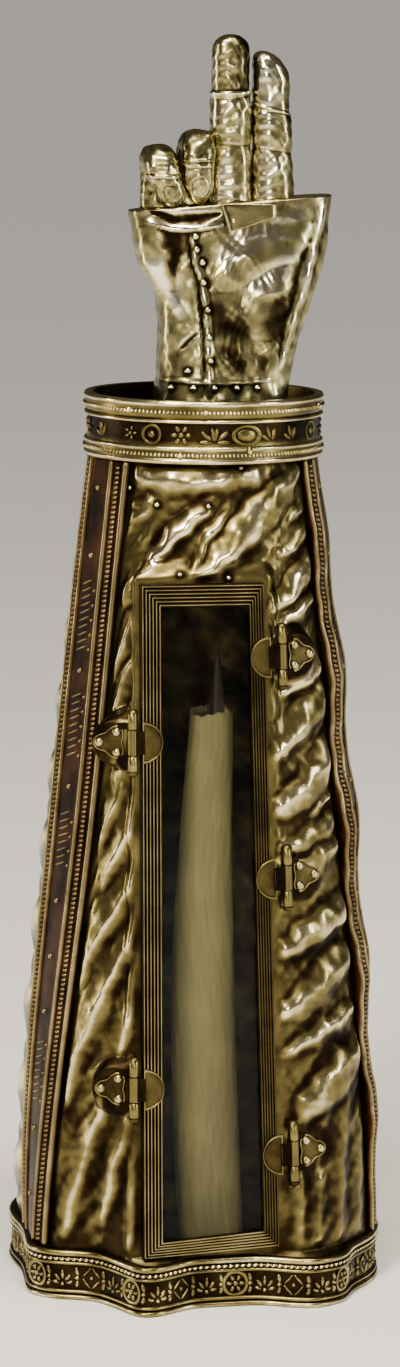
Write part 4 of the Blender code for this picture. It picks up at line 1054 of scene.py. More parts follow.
def palmette(size, height):
    """Five leaves fanned out from a boss at their foot, longest in the middle."""
    items = [(STUD, 0.0, -size * 0.62, (size * 0.20, size * 0.20, height * 1.2), 0.0)]
    for spread in (-76.0, -38.0, 0.0, 38.0, 76.0):
        t = math.radians(90.0 + spread)
        reach = size * (0.86 - 0.24 * abs(spread) / 76.0)
        items.append((BEAD, reach * math.cos(t), reach * math.sin(t) - size * 0.62,
                      (reach * 0.58, size * 0.17, height), math.degrees(t)))
    return items


# Bands and collar

def rolls(share, centres, level):
    """Profile of half-round rolls, given as (centre, half width, top), over a level profile."""
    rise = level
    for centre, half, top in centres:
        round_share = np.sqrt(np.clip(1.0 - ((share - centre) / half) ** 2, 0.0, 1.0))
        roll = top * (0.35 + 0.65 * round_share)
        rise = np.maximum(rise, np.where(np.abs(share - centre) < half, roll, 0.0))
    return rise


# Rolls are written as middle, half width and top, in shares of the band's width or height and of its
# moulding's. The ground is the level between them
GROUND = 0.20
BASE_GROUND = 0.22
BAND_ROLLS = ((0.035, 0.034, 1.0), (0.265, 0.028, 0.95), (0.735, 0.028, 0.95), (0.965, 0.034, 1.0))
BEAD_SHARES = (0.152, 0.848)
# Side bands: heights between which they carry slanted strokes with dots, and heights of their
# rivets. A stroke is its half length, half width, height and lean in degrees
BAND_BEAD_WIDTH = 0.0017
BAND_BEAD_HEIGHT = 0.0013
STROKE = (0.0056, 0.0007, 0.0008, 20.0)
STROKE_PITCH = 0.0036
DOT = (0.0010, 0.0010, 0.0009)
ORNAMENT_STRETCHES = ((0.3204, 0.3558), (0.2683, 0.2995), (0.2137, 0.2434), (0.0942, 0.1269))
BAND_RIVET_HEIGHTS = (0.401, 0.368, 0.3115, 0.2543, 0.1971, 0.1690, 0.1409, 0.0811, 0.0473)


def in_bead_channel(share):
    """Whether a share of a side band's width lies in one of its two channels for beads."""
    return (share > 0.07) & (share < 0.24) | (share > 0.76) & (share < 0.93)


def band_surface(name, side, share, z):
    """Outer face of a side band at a share of its width and a height.

    It is the bare sheet moved out by the band's sheet and its rolls. On the right a long wave is
    added, and a short sine of the height sways the line.
    """
    low, high = BASE_HEIGHT + CLEARANCE, COLLAR_BOTTOM - CLEARANCE
    rise = rolls(share, BAND_ROLLS, np.where(in_bead_channel(share), 0.42, 0.22))
    ends = smooth(np.minimum(z - low, high - z) / BAND_WAVE_PITCH)
    wave = BAND_WAVE_HEIGHTS[name] * ends * crest((z - BAND_WAVE_START) / BAND_WAVE_PITCH)
    sway = BAND_SWAY * np.sin(z / BAND_SWAY_STEP) * ends * (BAND_WAVE_HEIGHTS[name] > 0.0)
    angle = mix(band_inner(z), band_outer(z), share) + sway / BAND_MEAN_RADIUS
    radius = bare_radius(side * angle, z) + CLEARANCE + BAND_SHEET + BAND_RIB * rise + wave
    return point_on(side * angle, radius, z)


def side_band(name, side, bead_pitch, rivet_radius):
    """Moulded band down one side, with bead rows, a sunk panel, strokes and rivets.

    Its back follows the bare sheet. A roll's shade falls from brown to bright with its height;
    beads and strokes stand a pitch apart up the band.
    """
    z = np.linspace(BASE_HEIGHT + CLEARANCE, COLLAR_BOTTOM - CLEARANCE, 200)[:, None]
    share = divided((0.0, 0.07, 0.237, 0.293, 0.707, 0.763, 0.930, 1.0), (8, 4, 8, 6, 8, 4, 8))[None, :]
    outer = band_surface(name, side, share, z)
    back_share = np.array((1.0, 0.66, 0.33, 0.0))[None, :]
    angle = mix(band_inner(z), band_outer(z), back_share) * side
    inner = point_on(angle, bare_radius(angle, z) + CLEARANCE * 2.0, z)
    rise = rolls(share, BAND_ROLLS, GROUND)
    shade = np.where(rise > 0.25, 0.75 - 0.55 * rise, np.where(in_bead_channel(share), 0.80, 0.78))
    shade = np.concatenate((shade, np.full((1, 4), BACK_HOLLOW)), axis=1)
    bodies = [loft(np.concatenate((outer, inner), axis=1), shade)]

    def surface(u, v):
        """Outer face of this band."""
        return band_surface(name, side, u, v)

    beads = np.arange(z[0, 0] + bead_pitch, z[-1, 0] - bead_pitch, bead_pitch)
    bead = centred(BEAD, BAND_BEAD_WIDTH, bead_pitch * 0.46, BAND_BEAD_HEIGHT)
    for bead_share in BEAD_SHARES:
        bodies += ornament(surface, bead_share, beads, [bead], BAND_BEAD_DULLNESS)
    for low, high in ORNAMENT_STRETCHES:
        bars = np.arange(low + 0.002, high, STROKE_PITCH)
        bodies += ornament(surface, 0.52, bars, [centred(BEAD, *STROKE)], FINE_DULLNESS)
        bodies += ornament(surface, 0.36, bars[::2], [centred(BEAD, *DOT)], FINE_DULLNESS)
    rivet = centred(STUD, rivet_radius * 1.15, rivet_radius * 1.15, rivet_radius * 0.9)
    bodies += ornament(surface, 0.50, np.array(BAND_RIVET_HEIGHTS), [rivet])
    return join(bodies)


BASE_ROLLS = ((0.055, 0.055, 0.95), (0.165, 0.04, 0.80), (0.73, 0.038, 0.80), (0.815, 0.028, 0.66),
              (0.93, 0.065, 0.98))
BASE_FRIEZE_SHARE = 0.445
BASE_ROPE_SHARE = 0.815
BASE_ROPE_PITCH = 0.0030
BASE_ROPE_STRAND = (0.0013, 0.0009, 0.0008, 25.0)


def base_surface(angle, share):
    """Outer face of the base band at an angle and a share of its height."""
    rise = rolls(share, BASE_ROLLS, BASE_GROUND)
    radius = bare_radius(angle, 0.0) + CLEARANCE + BASE_SHEET + BASE_MOULDING * rise
    return point_on(angle, radius, BASE_HEIGHT * share)


def base_band(units, height):
    """Waved foot band: rolls above and below a sunk frieze of flowers in rings, lozenges and palmettes.

    Its plan is the bare sheet's at the floor, moved out by its sheet and its moulding. The
    ornaments stand a pitch apart along the frieze, with three small beads between two of them.
    """
    angle = np.linspace(-np.pi, np.pi, 432, endpoint=False)[:, None]
    share = divided((0.0, 0.11, 0.21, 0.69, 0.77, 0.85, 1.0), (8, 7, 4, 7, 6, 9))[None, :]
    outer = base_surface(angle, share)
    back = point_on(angle, bare_radius(angle, 0.0) + CLEARANCE, BASE_HEIGHT * np.array(((1.0, 0.0),)))
    rise = rolls(share, BASE_ROLLS, BASE_GROUND)
    shade = np.where(rise > 0.3, 0.95 - 0.6 * rise, 0.92)
    shade = np.concatenate((shade, np.full((1, 2), BACK_HOLLOW)), axis=1)
    bodies = [loft(np.concatenate((outer, back), axis=1), shade, closed=True)]
    fine = np.linspace(-np.pi, np.pi, 2000)
    run = run_along(base_surface(fine, np.full(2000, BASE_FRIEZE_SHARE)))
    pitch = run[-1] / units
    centres = np.interp((np.arange(units) + 0.5) * pitch, run, fine)
    between = np.interp(np.arange(units) * pitch, run, fine)
    size = BASE_HEIGHT * 0.235
    ring = [centred(HOOP, size, size, height * 2.2)]
    leaves = palmette(size * 0.95, height)
    turns = (flower(6, size * 0.80, height) + ring, leaves, lozenge(size * 0.85, size * 0.95, height), leaves)
    for k, items in enumerate(turns):
        bodies += ornament(base_surface, centres[k::len(turns)], BASE_FRIEZE_SHARE, items, FOOT_DULLNESS_AND_SHADE)
    bodies += ornament(base_surface, between, BASE_FRIEZE_SHARE, [
        (BEAD, 0.0, size * 0.50, (0.0012, 0.0026, 0.0010), 14.0),
        (BEAD, 0.0, -size * 0.55, (0.0012, 0.0022, 0.0010), -14.0),
        (BEAD, 0.0, -size * 0.02, (0.0016, 0.0012, 0.0012), 0.0)], FOOT_DULLNESS_AND_SHADE)
    rope = np.interp(np.arange(0.0, run[-1], BASE_ROPE_PITCH), run, fine)
    bodies += ornament(base_surface, rope, BASE_ROPE_SHARE, [centred(BEAD, *BASE_ROPE_STRAND)])
    return join(bodies)


# Collar: beads run at shares of its height. Ornaments and nails stand at angles from -Y in degrees, a
# nail also at a share of the height
COLLAR_ROLLS = ((0.045, 0.045, 0.95), (0.245, 0.040, 0.92), (0.675, 0.035, 0.90), (0.955, 0.045, 1.0))
COLLAR_BEADS = (0.14, 0.82)
COLLAR_BEAD_SIZE = 0.0011
COLLAR_NAIL_HEIGHT = 0.0022
COLLAR_FRIEZE = 0.46
COLLAR_ORNAMENTS = (
    ("spray", -71.0), ("flower_small", -52.0), ("ringed_boss", -40.0), ("flower", -24.0),
    ("fan", -6.0), ("plaque", 12.0), ("spray", 27.0), ("spray", 41.0), ("ringed_boss", 58.0),
    ("flower", 76.0), ("spray", 95.0), ("flower", 114.0), ("ringed_boss", 132.0), ("spray", 150.0),
    ("flower", 168.0), ("ringed_boss", -174.0), ("spray", -156.0), ("flower", -138.0),
    ("ringed_boss", -120.0), ("spray", -104.0), ("flower", -88.0),
)
COLLAR_NAILS = ((-52.0, 0.83), (-11.0, 0.83), (-24.0, 0.14), (13.0, 0.22), (64.0, 0.83), (120.0, 0.83),
                (-130.0, 0.83), (175.0, 0.14))


def collar_bore(angle):
    """Radius of the collar's inner side, which clears the sleeve's top."""
    return oval_radius(angle, TOP_HALF_WIDTH, TOP_HALF_DEPTH, TOP_SQUARENESS) + COLLAR_CLEARANCE


def collar_surface(angle, share):
    """Outer face of the collar at an angle and a share of its height."""
    level = np.where(share > 0.72, 0.74, np.where(share < 0.21, 0.74, GROUND))
    rise = COLLAR_WALL + COLLAR_MOULDING * rolls(share, COLLAR_ROLLS, level)
    return point_on(angle, collar_bore(angle) + rise, mix(COLLAR_BOTTOM, COLLAR_TOP, share))


def collar(bead_pitch, height, rivet_radius):
    """Ring of rolls, beads and a sunk frieze, with a floor set down inside it.

    Its rings run down the bore from under the floor, up the moulded face and back inside to the
    floor's top; the fans over both ends are the floor. A roll's shade falls from brown to bright
    with its height.
    """
    angle = np.linspace(-np.pi, np.pi, 220, endpoint=False)[None, :]
    share = divided((0.0, 0.09, 0.205, 0.285, 0.64, 0.71, 0.91, 1.0), (8, 3, 8, 4, 8, 4, 8))[:, None]
    inner = collar_bore(angle)
    wall = inner + COLLAR_WALL * 0.25
    floor_low = SLEEVE_HEIGHT + CLEARANCE
    sections = np.concatenate((
        point_on(angle, inner, floor_low), point_on(angle, inner, COLLAR_BOTTOM),
        collar_surface(angle, share),
        point_on(angle, wall, COLLAR_TOP), point_on(angle, wall - 0.0002, floor_low + COLLAR_FLOOR),
    ))
    rise = rolls(share, COLLAR_ROLLS, GROUND)
    plain = np.where((share > 0.28) & (share < 0.65), 0.92, 0.55)
    outside = np.where(rise > 0.3, 0.80 - 0.62 * rise, plain)
    shade = np.concatenate((np.full((2, 1), BACK_HOLLOW), outside, np.array(((0.6,), (0.95,)))))
    bodies = [loft(sections, np.broadcast_to(shade, sections.shape[:2]))]
    count = round(2.0 * np.pi * (TOP_HALF_WIDTH + COLLAR_WALL) / (bead_pitch * 0.9))
    bead = centred(BEAD, bead_pitch * 0.44, COLLAR_BEAD_SIZE, COLLAR_BEAD_SIZE)
    for bead_share in COLLAR_BEADS:
        bodies += ornament(collar_surface, circle(count), bead_share, [bead], FINE_DULLNESS)
    size = (COLLAR_TOP - COLLAR_BOTTOM) * 0.155
    forms = {
        "spray": leaf_spray(size * 1.7, 20.0, height), "flower_small": flower(5, size * 0.75, height),
        "ringed_boss": ringed_boss(size * 0.95, height), "flower": flower(6, size * 1.10, height),
        "fan": leaf_spray(size * 1.8, 48.0, height) + leaf_spray(size * 1.8, -48.0, height),
        "plaque": [centred(HOOP, size * 1.45, size * 0.95, height * 2.0),
                   centred(STUD, size * 1.15, size * 0.70, height * 1.2)],
    }
    for form, degrees in COLLAR_ORNAMENTS:
        bodies += ornament(collar_surface, math.radians(degrees), COLLAR_FRIEZE, forms[form], COLLAR_DULLNESS)
    nail = centred(STUD, rivet_radius * 1.3, rivet_radius * 1.3, COLLAR_NAIL_HEIGHT)
    for degrees, nail_share in COLLAR_NAILS:
        bodies += ornament(collar_surface, math.radians(degrees), nail_share, [nail])
    return join(bodies)


# Door, hinges and catches

def through(placing, local):
    """Local points carried by a matrix."""
    matrix = np.array(placing)
    return local @ matrix[:3, :3].T + matrix[:3, 3]


def at_level(flat, level):
    """Points of a flat outline, across and up, at a level or at a level each."""
    return np.stack((flat[:, 0], np.broadcast_to(level, len(flat)), flat[:, 1]), axis=-1)


def nails(placing, spots, radius, height):
    """Rivet heads at local places of a plate, standing up from its face towards -Y."""
    matrix = np.array(placing)
    return place(STUD, through(placing, spots), matrix[:3, 0], -matrix[:3, 1], (radius, radius, height))


def door_frame():
    """Frame of round reeds with mitred corners, with a painted highlight on the sill, and a rebate for the
    glass.

    A reed is half a circle across. Its shade falls from brown to bright by high powers of the
    circle's height, which keeps its bright crest line thin: rubbed wear and painted highlight. The
    sill is painted brightest and the right member darkest, as painted light and shade.
    """
    placing = door_placing()
    back, front = -CLEARANCE, -DOOR_THICKNESS
    rebate = back - GLASS_THICKNESS - GLASS_REBATE_GAP
    lap = 1.0 - (GLASS_LAP + GLASS_REBATE_GAP) / DOOR_RIGHT_MEMBER
    per_reed = 8
    steps = np.arange(DOOR_REEDS * per_reed + 1) / per_reed
    arch = np.sqrt(np.maximum(0.0, 1.0 - (2.0 * (steps % 1.0) - 1.0) ** 2))
    shares = np.concatenate(((0.0,), steps / DOOR_REEDS, (1.0, lap, lap)))
    levels = np.concatenate(((back,), front + DOOR_REED_DEPTH * (1.0 - arch), (rebate, rebate, back)))
    # Reed shades of the right member, the head with the left member, and the sill: painted shade on the right
    # member, painted highlight on the sill
    right_painted_shade = np.concatenate(((0.85,), 0.98 - 0.50 * arch ** 8, (0.85, 0.95, 0.95)))
    lined = np.concatenate(((0.70,), 1.0 - 0.28 * arch ** 6 - 0.54 * arch ** 24, (0.85, 0.95, 0.95)))
    rubbed = np.concatenate(((0.70,), 0.95 - 0.78 * arch ** 6, (0.80, 0.95, 0.95)))
    corners = np.array([door_corners(share) for share in shares])
    per_side = 24
    rings = []
    for k in range(4):
        start, end = corners[:, k], corners[:, (k + 1) % 4]
        for j in range(per_side):
            rings.append(at_level(mix(start, end, j / per_side), levels))
    sections = through(placing, np.array(rings))
    member = np.arange(len(rings))[:, None] // per_side
    shade = np.where(member == 0, rubbed, np.where(member == 1, right_painted_shade, lined))
    return loft(sections, shade, closed=True)


def barrel(placing, low, high, radius, cap_low=False, cap_high=False):
    """A tube with bevelled ends and, at a free end, a cap: its rows turned round the axis.

    A cap's rows follow a quarter of an ellipse: its radius is the cap's radius times the cosine
    of a turn and its level lies past the end by the cap's height times the sine.
    """
    bevel = 0.0004
    level = np.array((low, low + bevel, mix(low, high, 0.5), high - bevel, high))
    girth = np.array((radius - bevel, radius, radius, radius, radius - bevel))
    turn = np.radians((0.0, 35.0, 60.0, 80.0))
    cap_rise, cap_girth = PIN_CAP_HEIGHT * np.sin(turn), PIN_CAP_RADIUS * np.cos(turn)
    if cap_low:
        level, girth = np.append((low - cap_rise)[::-1], level), np.append(cap_girth[::-1], girth)
    if cap_high:
        level, girth = np.append(level, high + cap_rise), np.append(girth, cap_girth)
    rings = turned(girth, level, 20)
    shade = np.where(np.abs(girth - radius) < 1e-6, 0.35, 0.55)[:, None]
    return loft(through(placing, rings), np.broadcast_to(shade, rings.shape[:2]))


def pillow(outline, placing, level, thickness, swell, groove, face):
    """A plate of a flat outline (n, 2) with a rounded edge and a swelling face towards -Y.

    Its rows shrink towards the middle as they rise. The rim is bright, the groove inside it and
    the face have the shades that are asked for.
    """
    middle = outline.mean(0)
    rows = (
        (1.0, 0.0, 0.9), (1.0, 0.7, 0.75), (0.97, 0.95, 0.5), (0.93, 1.0, 0.30), (0.89, 1.0, 0.35),
        (0.85, 0.72, groove), (0.80, 0.78, mix(groove, face, 0.7)),
        (0.45, 0.78 + 0.5 * swell, face), (0.15, 0.78 + 0.7 * swell, face),
    )
    rings = np.array([
        at_level(middle + (outline - middle) * share, level - thickness * rise) for share, rise, _ in rows])
    shade = np.array([row[2] for row in rows])[:, None]
    return loft(through(placing, rings), np.broadcast_to(shade, rings.shape[:2]))


def strip(placing, across, up, front, back):
    """A flat tongue between a plate and its barrel, painted dark as shade because it lies in the barrel's
    shadow.

    Across and up are its ends in each direction, in either order.
    """
    (low_x, high_x), (low_z, high_z) = sorted(across), sorted(up)
    corners = np.array(((low_x, low_z), (high_x, low_z), (high_x, high_z), (low_x, high_z)))
    rings = np.array([at_level(corners, level) for level in (back, front)])
    return loft(through(placing, rings), 0.82)


def lobed(side, radius, turns):
    """Flat places at a radius and at turns round a plate's middle, mirrored to a side."""
    return np.stack((side * radius * np.cos(turns), radius * np.sin(turns)), axis=-1)


def sleeve_leaf(side, height, rivet_radius):
    """Three-lobed plate with a large nail on each lobe, two tongues, the outer knuckles and the pin.

    The plate's radius is a circle's plus a cosine of three times the turn.
    """
    placing = axis_placing(side, height)
    flat = plate_placing(side, height)
    turns = circle(48)
    outline = lobed(side, PLATE_RADIUS * (1.0 + PLATE_LOBING * np.cos(3.0 * turns)), turns)
    thickness = LEAF_THICKNESS * 0.85
    bodies = [pillow(outline, flat, 0.0, thickness, 0.35, 0.80, 0.60)]
    inner, half = KNUCKLE_LENGTH / 2.0 + KNUCKLE_GAP, BARREL_LENGTH / 2.0
    for rise in (-1.0, 1.0):
        bodies.append(strip(flat, (-side * PLATE_REACH, -side * PLATE_RADIUS * 0.45),
                            (rise * inner, rise * (inner + TONGUE_HEIGHT)),
                            -LEAF_THICKNESS * 0.95, -LEAF_THICKNESS * 0.05))
    bodies.append(barrel(placing, inner, half, BARREL_RADIUS, cap_high=True))
    bodies.append(barrel(placing, -half, -inner, BARREL_RADIUS, cap_low=True))
    bodies.append(barrel(placing, -inner - 0.001, inner + 0.001, PIN_RADIUS))
    spots = at_level(lobed(side, PLATE_RADIUS * 0.78, circle(3)), -thickness)
    bodies.append(nails(flat, spots, rivet_radius * 1.8, rivet_radius * 1.2))
    return join(bodies)


def door_leaf(side, height):
    """Plain half-disc leaf on the door, with a rim, and its knuckle.

    A hinge's knuckle is a full tube round the pin. A catch's is half a tube, a hook that lets go.
    """
    placing = axis_placing(side, height)
    hinged = side > 0
    offset = HINGE_OFFSET - HINGE_LEAF_OVERHANG if hinged else CATCH_OFFSET - CATCH_LEAF_OVERHANG
    back = AXIS_LEVEL - DOOR_THICKNESS - CLEARANCE
    turns = np.pi * (np.arange(29) / 28 - 0.5)
    outline = np.stack((-side * (HALF_DISC_RADIUS * np.cos(turns) + offset),
                        HALF_DISC_RADIUS * np.sin(turns)), axis=-1)
    bodies = [pillow(outline, placing, back, LEAF_THICKNESS * 0.9, 0.25, 0.74, 0.56)]
    half = KNUCKLE_LENGTH / 2.0
    bodies.append(strip(placing, (-side * (BARREL_RADIUS * 0.6), -side * (offset + LEAF_THICKNESS)),
                        (-half * 0.95, half * 0.95),
                        back - LEAF_THICKNESS * 0.9, back - LEAF_THICKNESS * 0.1))
    bore = PIN_RADIUS + PIN_CLEARANCE
    turns = np.pi * (2.0 * np.arange(20) / 20 if hinged else 1.0 + np.arange(21) / 20)
    ring = np.stack((np.cos(turns), np.sin(turns), np.zeros(len(turns))), axis=-1)
    wall = [ring * (radius, radius, 0.0) + (0.0, 0.0, level) for radius, level in (
        (BARREL_RADIUS, -half), (BARREL_RADIUS, half), (bore, half), (bore, -half))]
    sections = through(placing, np.array(wall).transpose(1, 0, 2))
    bodies.append(loft(sections, 0.40, closed=hinged))
    return join(bodies)


# Relic bone

def bone():
    """Shaft of old bone: long grain, pits and a worn, broken upper end that rises to a splinter.

    Its rows are superellipses whose half widths follow the list, smoothed, on a centre line bowed
    by half a sine. Grain is a product of two sines and a third sine of angle and height, less a
    keen crest of both. At the top a bell curve of the angle lifts the splinter, and rings run in
    and down from the broken rim.
    """
    low = FLOOR_THICKNESS + CLEARANCE
    rows, columns = 220, 96
    share = np.linspace(0.0, 1.0, rows)[:, None]
    z = mix(low, BONE_TOP, share)
    half = blurred(np.interp(share, np.linspace(0.0, 1.0, len(BONE_HALF_WIDTHS)), BONE_HALF_WIDTHS), 40)
    centre = mix(BONE_FOOT_X, BONE_HEAD_X, share) + BONE_BOW * np.sin(np.pi * share)
    angle = circle(columns)
    girth = oval_radius(angle[None, :], 1.0, BONE_DEPTH_SHARE, BONE_SQUARENESS)
    grain = BONE_GRAIN * np.sin(angle * 17.0 + 9.0 * np.sin(z * 38.0)) * np.sin(z * 95.0 + angle * 3.0)
    crack = BONE_CRACK_DEPTH * crest(z / 0.061 + angle * 0.11, 9.0)
    grain = grain + BONE_FINE_GRAIN * np.sin(angle * 31.0 + z * 160.0) - crack
    radius = half * girth + grain
    from_tip = np.angle(np.exp(1j * (angle - math.pi + BONE_TIP_SHIFT)))
    splinter = (BONE_TIP * bell(from_tip, BONE_TIP_SPREAD) + 0.0012 * np.sin(angle * 2.0 + 0.4)
                + 0.0004 * np.sin(angle * 11.0))
    lift = smooth((share - BONE_BREAK_START) / BONE_BREAK_LENGTH) * splinter[None, :]
    outer = np.stack((centre + radius * np.sin(angle), BONE_Y - radius * np.cos(angle), z + lift), axis=-1)
    rim = outer[-1]
    middle = np.array((centre[-1, 0], BONE_Y))
    inward = []
    for in_share, drop in ((0.86, 0.0006), (0.74, 0.0030), (0.66, 0.0140), (0.30, 0.0190)):
        ring = rim.copy()
        ring[:, :2] = middle + (rim[:, :2] - middle) * in_share
        ring[:, 2] = mix(rim[:, 2], BONE_TOP, 1.0 - in_share) - drop
        inward.append(ring)
    # Hollow values follow the grain and grow where the splinter rises; the rings into the broken end darken
    # as they go in, as painted shade in its hollow
    stained = 0.30 + grain * 600.0 + smooth((lift - 0.0015) / 0.0030)
    broken_end_shade = np.maximum(((0.5,), (0.8,), (1.0,), (1.0,)), stained[-1:] + 0.3 * (stained[-1:] > 0.6))
    shade = np.concatenate((stained, broken_end_shade))
    return loft(np.concatenate((outer, np.array(inward))), np.clip(shade, 0.0, 1.2))


# Hand

# Palm, written like the front's folds: creases sink, ridges stand out, both in millimetres. The third
# number of a place of painted shade is what it adds to the hollow values, of a painted highlight what it
# takes
PALM_CREASES = {
    "finger_slot": (7, 7, 2.6, ((220, 214), (198, 219), (172, 219), (148, 211))),
    "palm_hollow": (26, 22, 1.3, ((280, 300), (258, 330), (242, 352))),
    "dent_at_seam": (10, 10, 0.8, ((242, 330), (237, 345), (230, 358))),
    "tear": (3, 3, 1.0, ((197, 333), (188, 341), (179, 350))),
    "dent_left": (9, 8, 0.7, ((178, 250), (170, 268), (172, 292))),
    "seam_gap": (
        3, 3, 0.7, ((187, 232), (191, 262), (197, 280), (200, 304), (203, 334), (204, 372), (204, 398))),
}
PALM_RIDGES = {
    "seam_lap": (
        6, 5, 0.8, ((192, 232), (196, 262), (202, 280), (206, 304), (209, 334), (210, 372), (210, 398))),
    "slot_rim": (4, 4, 1.2, ((224, 224), (198, 229), (172, 229), (146, 221))),
    "little_finger_mound": (24, 22, 1.3, ((150, 226), (152, 256), (160, 290))),
    "thumb_edge": (6, 8, 1.3, ((326, 196), (311, 252), (302, 287), (290, 326), (280, 368))),
    "palm_sweep": (14, 26, 1.7, ((312, 226), (276, 246), (240, 262), (214, 286))),
    "thumb_mound": (26, 24, 1.2, ((284, 262), (268, 300), (262, 340))),
    "wrist_lip": (4, 4, 0.6, ((270, 380), (240, 383), (200, 383), (160, 379))),
}
PALM_PAINTED_SHADE = {
    "under_folded_fingers": (13, 15, 0.26, ((146, 240), (172, 244), (200, 246))),
    "right_of_seam": (26, 20, 0.34, ((222, 310), (236, 338), (240, 376))),
    "shaded_side": (17, 20, 0.36, ((294, 280), (278, 320), (264, 372))),
}
PALM_PAINTED_HIGHLIGHT = {
    "upper_sweep": (14, 20, 0.46, ((214, 262), (244, 246), (276, 232), (304, 214))),
    "thumb_side": (14, 13, 0.40, ((300, 246), (276, 270), (246, 294))),
    "left_swell": (14, 15, 0.40, ((158, 262), (172, 290), (186, 322))),
}
PALM_RIVETS = {
    "seam_one": (195, 237), "seam_two": (197, 250), "seam_three": (202, 262), "seam_four": (204, 282),
    "seam_five": (207, 310), "seam_six": (209, 337), "seam_seven": (211, 361), "wrist_a": (170, 388),
    "wrist_b": (193, 389), "wrist_c": (215, 389), "wrist_d": (237, 389), "wrist_e": (257, 388),
    "wrist_f": (187, 371),
}


def palm_bottom():
    """Height of the palm's foot, on the collar's floor."""
    return SLEEVE_HEIGHT + CLEARANCE + COLLAR_FLOOR + CLEARANCE


def palm_top(x):
    """Height of the palm's sloping top at a distance to the right."""
    left, right = PALM_ROWS[-1][1], PALM_ROWS[-1][2]
    return palm_bottom() + PALM_ROWS[-1][0] + PALM_TOP_RISE * (x - left) / (right - left)


def palm_spots(grid, columns):
    """Places, rights and normals of the palm's rivets, each from the nearer quarter of its front."""
    quarters = [spots_on(part, PALM_RIVETS) for part in (grid[:, :columns // 4], grid[:, 3 * columns // 4:])]
    wanted = np.array(list(PALM_RIVETS.values()), float).T
    first, second = (np.hypot(*(in_picture(found[0]) - wanted)) for found in quarters)
    nearer = (first > second)[:, None]
    return [np.where(nearer, b, a) for a, b in zip(*quarters)]


def palm(hammer_depth, rivet_radius):
    """Sheet glove with a riveted seam, creases and dents, flat where the fingers and thumb meet it.

    Its rows are superellipses whose edges and half depth follow PALM_ROWS, smoothed; the upper
    ones are raised to the top's slope. In front, ridges less creases move the sheet outwards.
    Behind, it has shallow diagonal creases. Dents cover both.
    """
    table = np.array(PALM_ROWS)
    top = table[-1, 0]
    height = np.linspace(0.0, top, 150)[:, None]
    left, right, deep = (blurred(np.interp(height, table[:, 0], table[:, k]), 30) for k in (1, 2, 3))
    columns = 220
    angle = circle(columns)
    middle = (right + left) / 2.0
    radius = oval_radius(angle[None, :], (right - left) / 2.0, deep, PALM_SQUARENESS)
    x = middle + radius * np.sin(angle)
    y = PALM_MIDDLE_Y - radius * np.cos(angle)
    share = smooth((height - table[-3, 0]) / (top - table[-3, 0]))
    z = palm_bottom() + height + (palm_top(x) - palm_bottom() - top) * share
    plain = np.stack((x, y, z), axis=-1)
    across, down = in_picture(plain)
    front = smooth((np.cos(angle) + 0.15) / 0.3)[None, :]
    relief = front * (fold_field(across, down, PALM_RIDGES) - fold_field(across, down, PALM_CREASES))
    relief = relief - (1.0 - front) * PALM_BACK_CREASE * crest((z - 0.5 * x) / PALM_BACK_PITCH, 4.0)
    relief += crumpled(plain, hammer_depth * 1.2, *PALM_DENTS)
    away = unit(np.stack((x - middle, 1.6 * (y - PALM_MIDDLE_Y), np.zeros_like(x)), axis=-1))
    ends = smooth(np.minimum(height, top - height) / 0.004)
    sections = plain + away * (relief * ends)[..., None]
    origins, rights, normals = palm_spots(sections, columns)
    # Painted shade round the rivets
    shade = shaded_round_rivets(sections, hollows(relief, 8, 0.0010), origins, rivet_radius * 2.0)
    # Broad patches of painted shade and painted highlight on the palm's front raise and lower the hollow
    # values
    broad = fold_field(across, down, PALM_PAINTED_SHADE) - fold_field(across, down, PALM_PAINTED_HIGHLIGHT)
    shade = np.clip(shade + front * broad / MILLIMETRE, 0.0, 1.0)
    size = (rivet_radius * 1.3, rivet_radius * 1.3, rivet_radius * 1.0)
    return join((loft(sections, shade), place(STUD, origins, rights, normals, size)))


def swelling(away, form):
    """Bell curve of a form's size and reach."""
    size, reach = form
    return size * bell(away, reach)


def nail_field(angle, share, half_width, middle, half_length, power):
    """A fingernail's superellipse: 1 on its outline, less inside it and more outside it."""
    across = np.abs(np.sin(angle)[None, :] / half_width)
    return across ** power + np.abs((share - middle) / half_length) ** power


